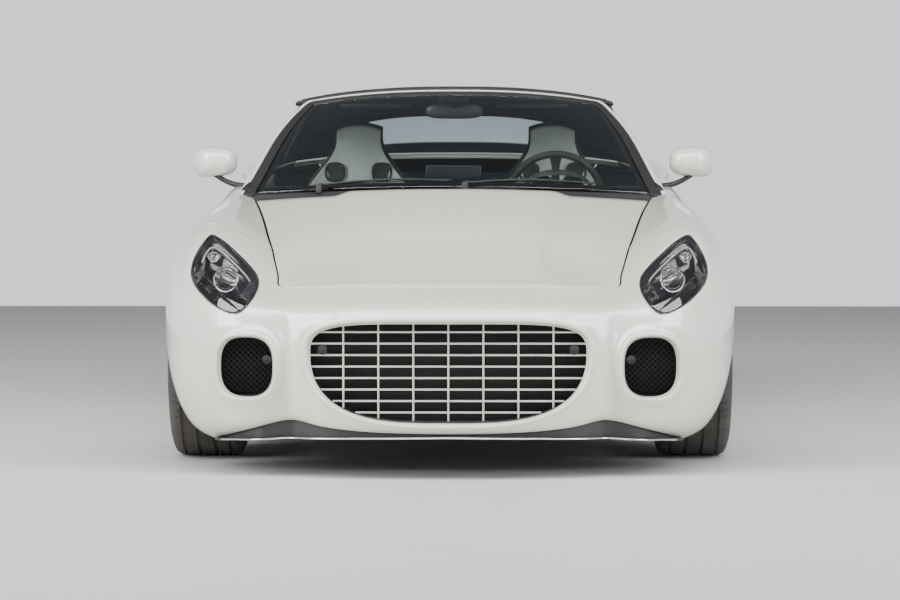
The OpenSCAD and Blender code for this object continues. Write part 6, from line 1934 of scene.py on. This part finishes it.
def build_stage(settings):
    mesh = bpy.data.meshes.new("studio_floor")
    mesh.from_pydata([(-40, -30, 0), (40, -30, 0), (40, 9, 0), (-40, 9, 0)], [], [(0, 1, 2, 3)])
    mesh.materials.append(FINISHES["floor"])
    floor = bpy.data.objects.new("studio_floor", mesh)
    bpy.context.scene.collection.objects.link(floor)
    world = bpy.data.worlds.new("Soft studio")
    world.use_nodes = True
    tree = world.node_tree
    back = tree.nodes["Background"]
    coord = node(tree, "ShaderNodeTexCoord").outputs["Generated"]
    z = node(tree, "ShaderNodeSeparateXYZ", {0: coord}).outputs["Z"]
    rise = node(tree, "ShaderNodeMapRange", {"Value": z, "From Min": 0.05, "From Max": 0.45}).outputs[0]
    tree.links.new(mixed(tree, rise, (1.15, 1.15, 1.25), (0.12, 0.125, 0.14)), back.inputs["Color"])
    back.inputs["Strength"].default_value = settings.world_light
    bpy.context.scene.world = world
    power = settings.key_light
    soft_light("left_softbox", (-6.5, -5.0, 5.0), (-0.3, -1.0, 0.4), (3.0, 8.0), power, (1.0, 0.99, 0.97))
    soft_light("right_softbox", (6.5, -5.0, 5.0), (0.3, -1.0, 0.4), (3.0, 8.0), power * 0.75, (1.0, 0.99, 0.98))
    soft_light("front_softbox", (0.0, -15.0, 5.5), (0, -2.0, 0.4), (9.0, 2.0), power * 0.55)
    soft_light("top_softbox", (0.0, -3.2, 6.5), (0, -1.6, 0.5), (6.0, 2.5), power * 0.45)
    camera = bpy.data.cameras.new("front_view")
    camera.lens = settings.lens
    camera.clip_end = 200
    obj = bpy.data.objects.new("front_view", camera)
    obj.location = (0.125, -14.0, 1.16)
    obj.rotation_euler = (math.radians(90 - 2.79), 0, math.radians(0.58))
    bpy.context.scene.collection.objects.link(obj)
    bpy.context.scene.camera = obj


# ---- the add-on ----

class RoadsterSettings(bpy.types.PropertyGroup):
    """Sizes and looks shared by the pieces."""
    panel_thickness: bpy.props.FloatProperty(name="Panel thickness", description="Of the fixed outer panels",
                                             default=0.018, min=0.004, max=0.024, unit="LENGTH")
    lid_thickness: bpy.props.FloatProperty(name="Lid thickness", description="Of the bonnet and boot lid skins",
                                           default=0.012, min=0.004, max=0.018, unit="LENGTH")
    glass_thickness: bpy.props.FloatProperty(name="Glass thickness", description="Of the windscreen",
                                             default=0.006, min=0.003, max=0.008, unit="LENGTH")
    cloth_thickness: bpy.props.FloatProperty(name="Cloth thickness", description="Of the soft top",
                                             default=0.005, min=0.002, max=0.014, unit="LENGTH")
    bar_spacing: bpy.props.FloatProperty(name="Grille bar spacing", description="Between the upright bars",
                                         default=0.1154, min=0.08, max=0.15, unit="LENGTH")
    bar_width: bpy.props.FloatProperty(name="Grille bar width", description="Of every bar of the grille",
                                       default=0.0062, min=0.003, max=0.012, unit="LENGTH")
    paint_colour: bpy.props.FloatVectorProperty(name="Paint", description="Colour of the body paint",
                                                default=(0.80, 0.775, 0.70), min=0, max=1, subtype="COLOR")
    dust: bpy.props.FloatProperty(name="Dust", description="How dusty the low parts are", default=0.35, min=0,
                                  max=1, subtype="FACTOR")
    world_light: bpy.props.FloatProperty(name="Room light", description="Strength of the light all round",
                                         default=1.0, min=0, max=3)
    key_light: bpy.props.FloatProperty(name="Key light", description="Power of the main softbox", default=900.0,
                                       min=0, max=5000, unit="POWER")
    lens: bpy.props.FloatProperty(name="Lens", description="Focal length of the camera", default=143.6, min=20,
                                  max=400, unit="CAMERA")


def step(idname, label, text, *builders):
    """An operator class that runs some builders."""

    def execute(self, context):
        for build in builders:
            build(context.scene.roadster)
        return {"FINISHED"}

    return type("ROADSTER_OT_" + idname, (bpy.types.Operator,), {
        "__doc__": text, "bl_idname": "roadster." + idname, "bl_label": label,
        "bl_options": {"REGISTER", "UNDO"}, "execute": execute})


STEPS = [
    step("finishes", "Finishes", "Make the shared effects and every material", make_finishes),
    step("body", "Body panels", "Build the nose, wings, sills, tail skin and rear deck", build_body),
    step("lids", "Bonnet and boot lid", "Build the two lids and their frames", build_lids),
    step("glass", "Glass", "Build the windscreen with its frame, the side glass and the rear window",
         build_glass),
    step("doors", "Doors", "Build the doors with their inner trim and handles", build_doors),
    step("front", "Lamps and grilles", "Build the headlamps, the grille and the side intakes", build_lamps),
    step("soft_top", "Soft top", "Build the raised soft top, its bows and lining", build_bows, build_soft_top),
    step("cabin", "Cabin", "Build the seats, dash, console, steering wheel and trim", build_seats, build_dash,
         build_cabin_walls),
    step("wheels", "Wheels", "Build the tyres, alloy wheels and brake discs", build_wheels),
    step("tail", "Tail", "Build the tail lamps, exhaust tips, diffuser and plate holder", build_tail),
    step("trim", "Outside trim", "Build the mirrors, splitter, cowl, wipers and vents", build_trim),
    step("underbody", "Underbody", "Give the pieces kept from the solid model their finishes", dress_kept),
    step("stage", "Stage", "Build the floor, lights and camera", build_stage),
]


class ROADSTER_PT_build(bpy.types.Panel):
    """Lists the steps that build the roadster."""
    bl_label = "Roadster"
    bl_idname = "ROADSTER_PT_build"
    bl_space_type = "VIEW_3D"
    bl_region_type = "UI"
    bl_category = "Roadster"

    def draw(self, context):
        settings = context.scene.roadster
        for name in settings.__annotations__:
            self.layout.prop(settings, name)
        for operator in STEPS:
            self.layout.operator(operator.bl_idname)


CLASSES = [RoadsterSettings, *STEPS, ROADSTER_PT_build]


def register():
    for cls in CLASSES:
        bpy.utils.register_class(cls)
    bpy.types.Scene.roadster = bpy.props.PointerProperty(type=RoadsterSettings)


def unregister():
    del bpy.types.Scene.roadster
    for cls in reversed(CLASSES):
        bpy.utils.unregister_class(cls)


def main():
    register()
    for operator in STEPS:
        getattr(bpy.ops.roadster, operator.bl_idname.split(".")[1])()


if __name__ == "__main__":
    main()
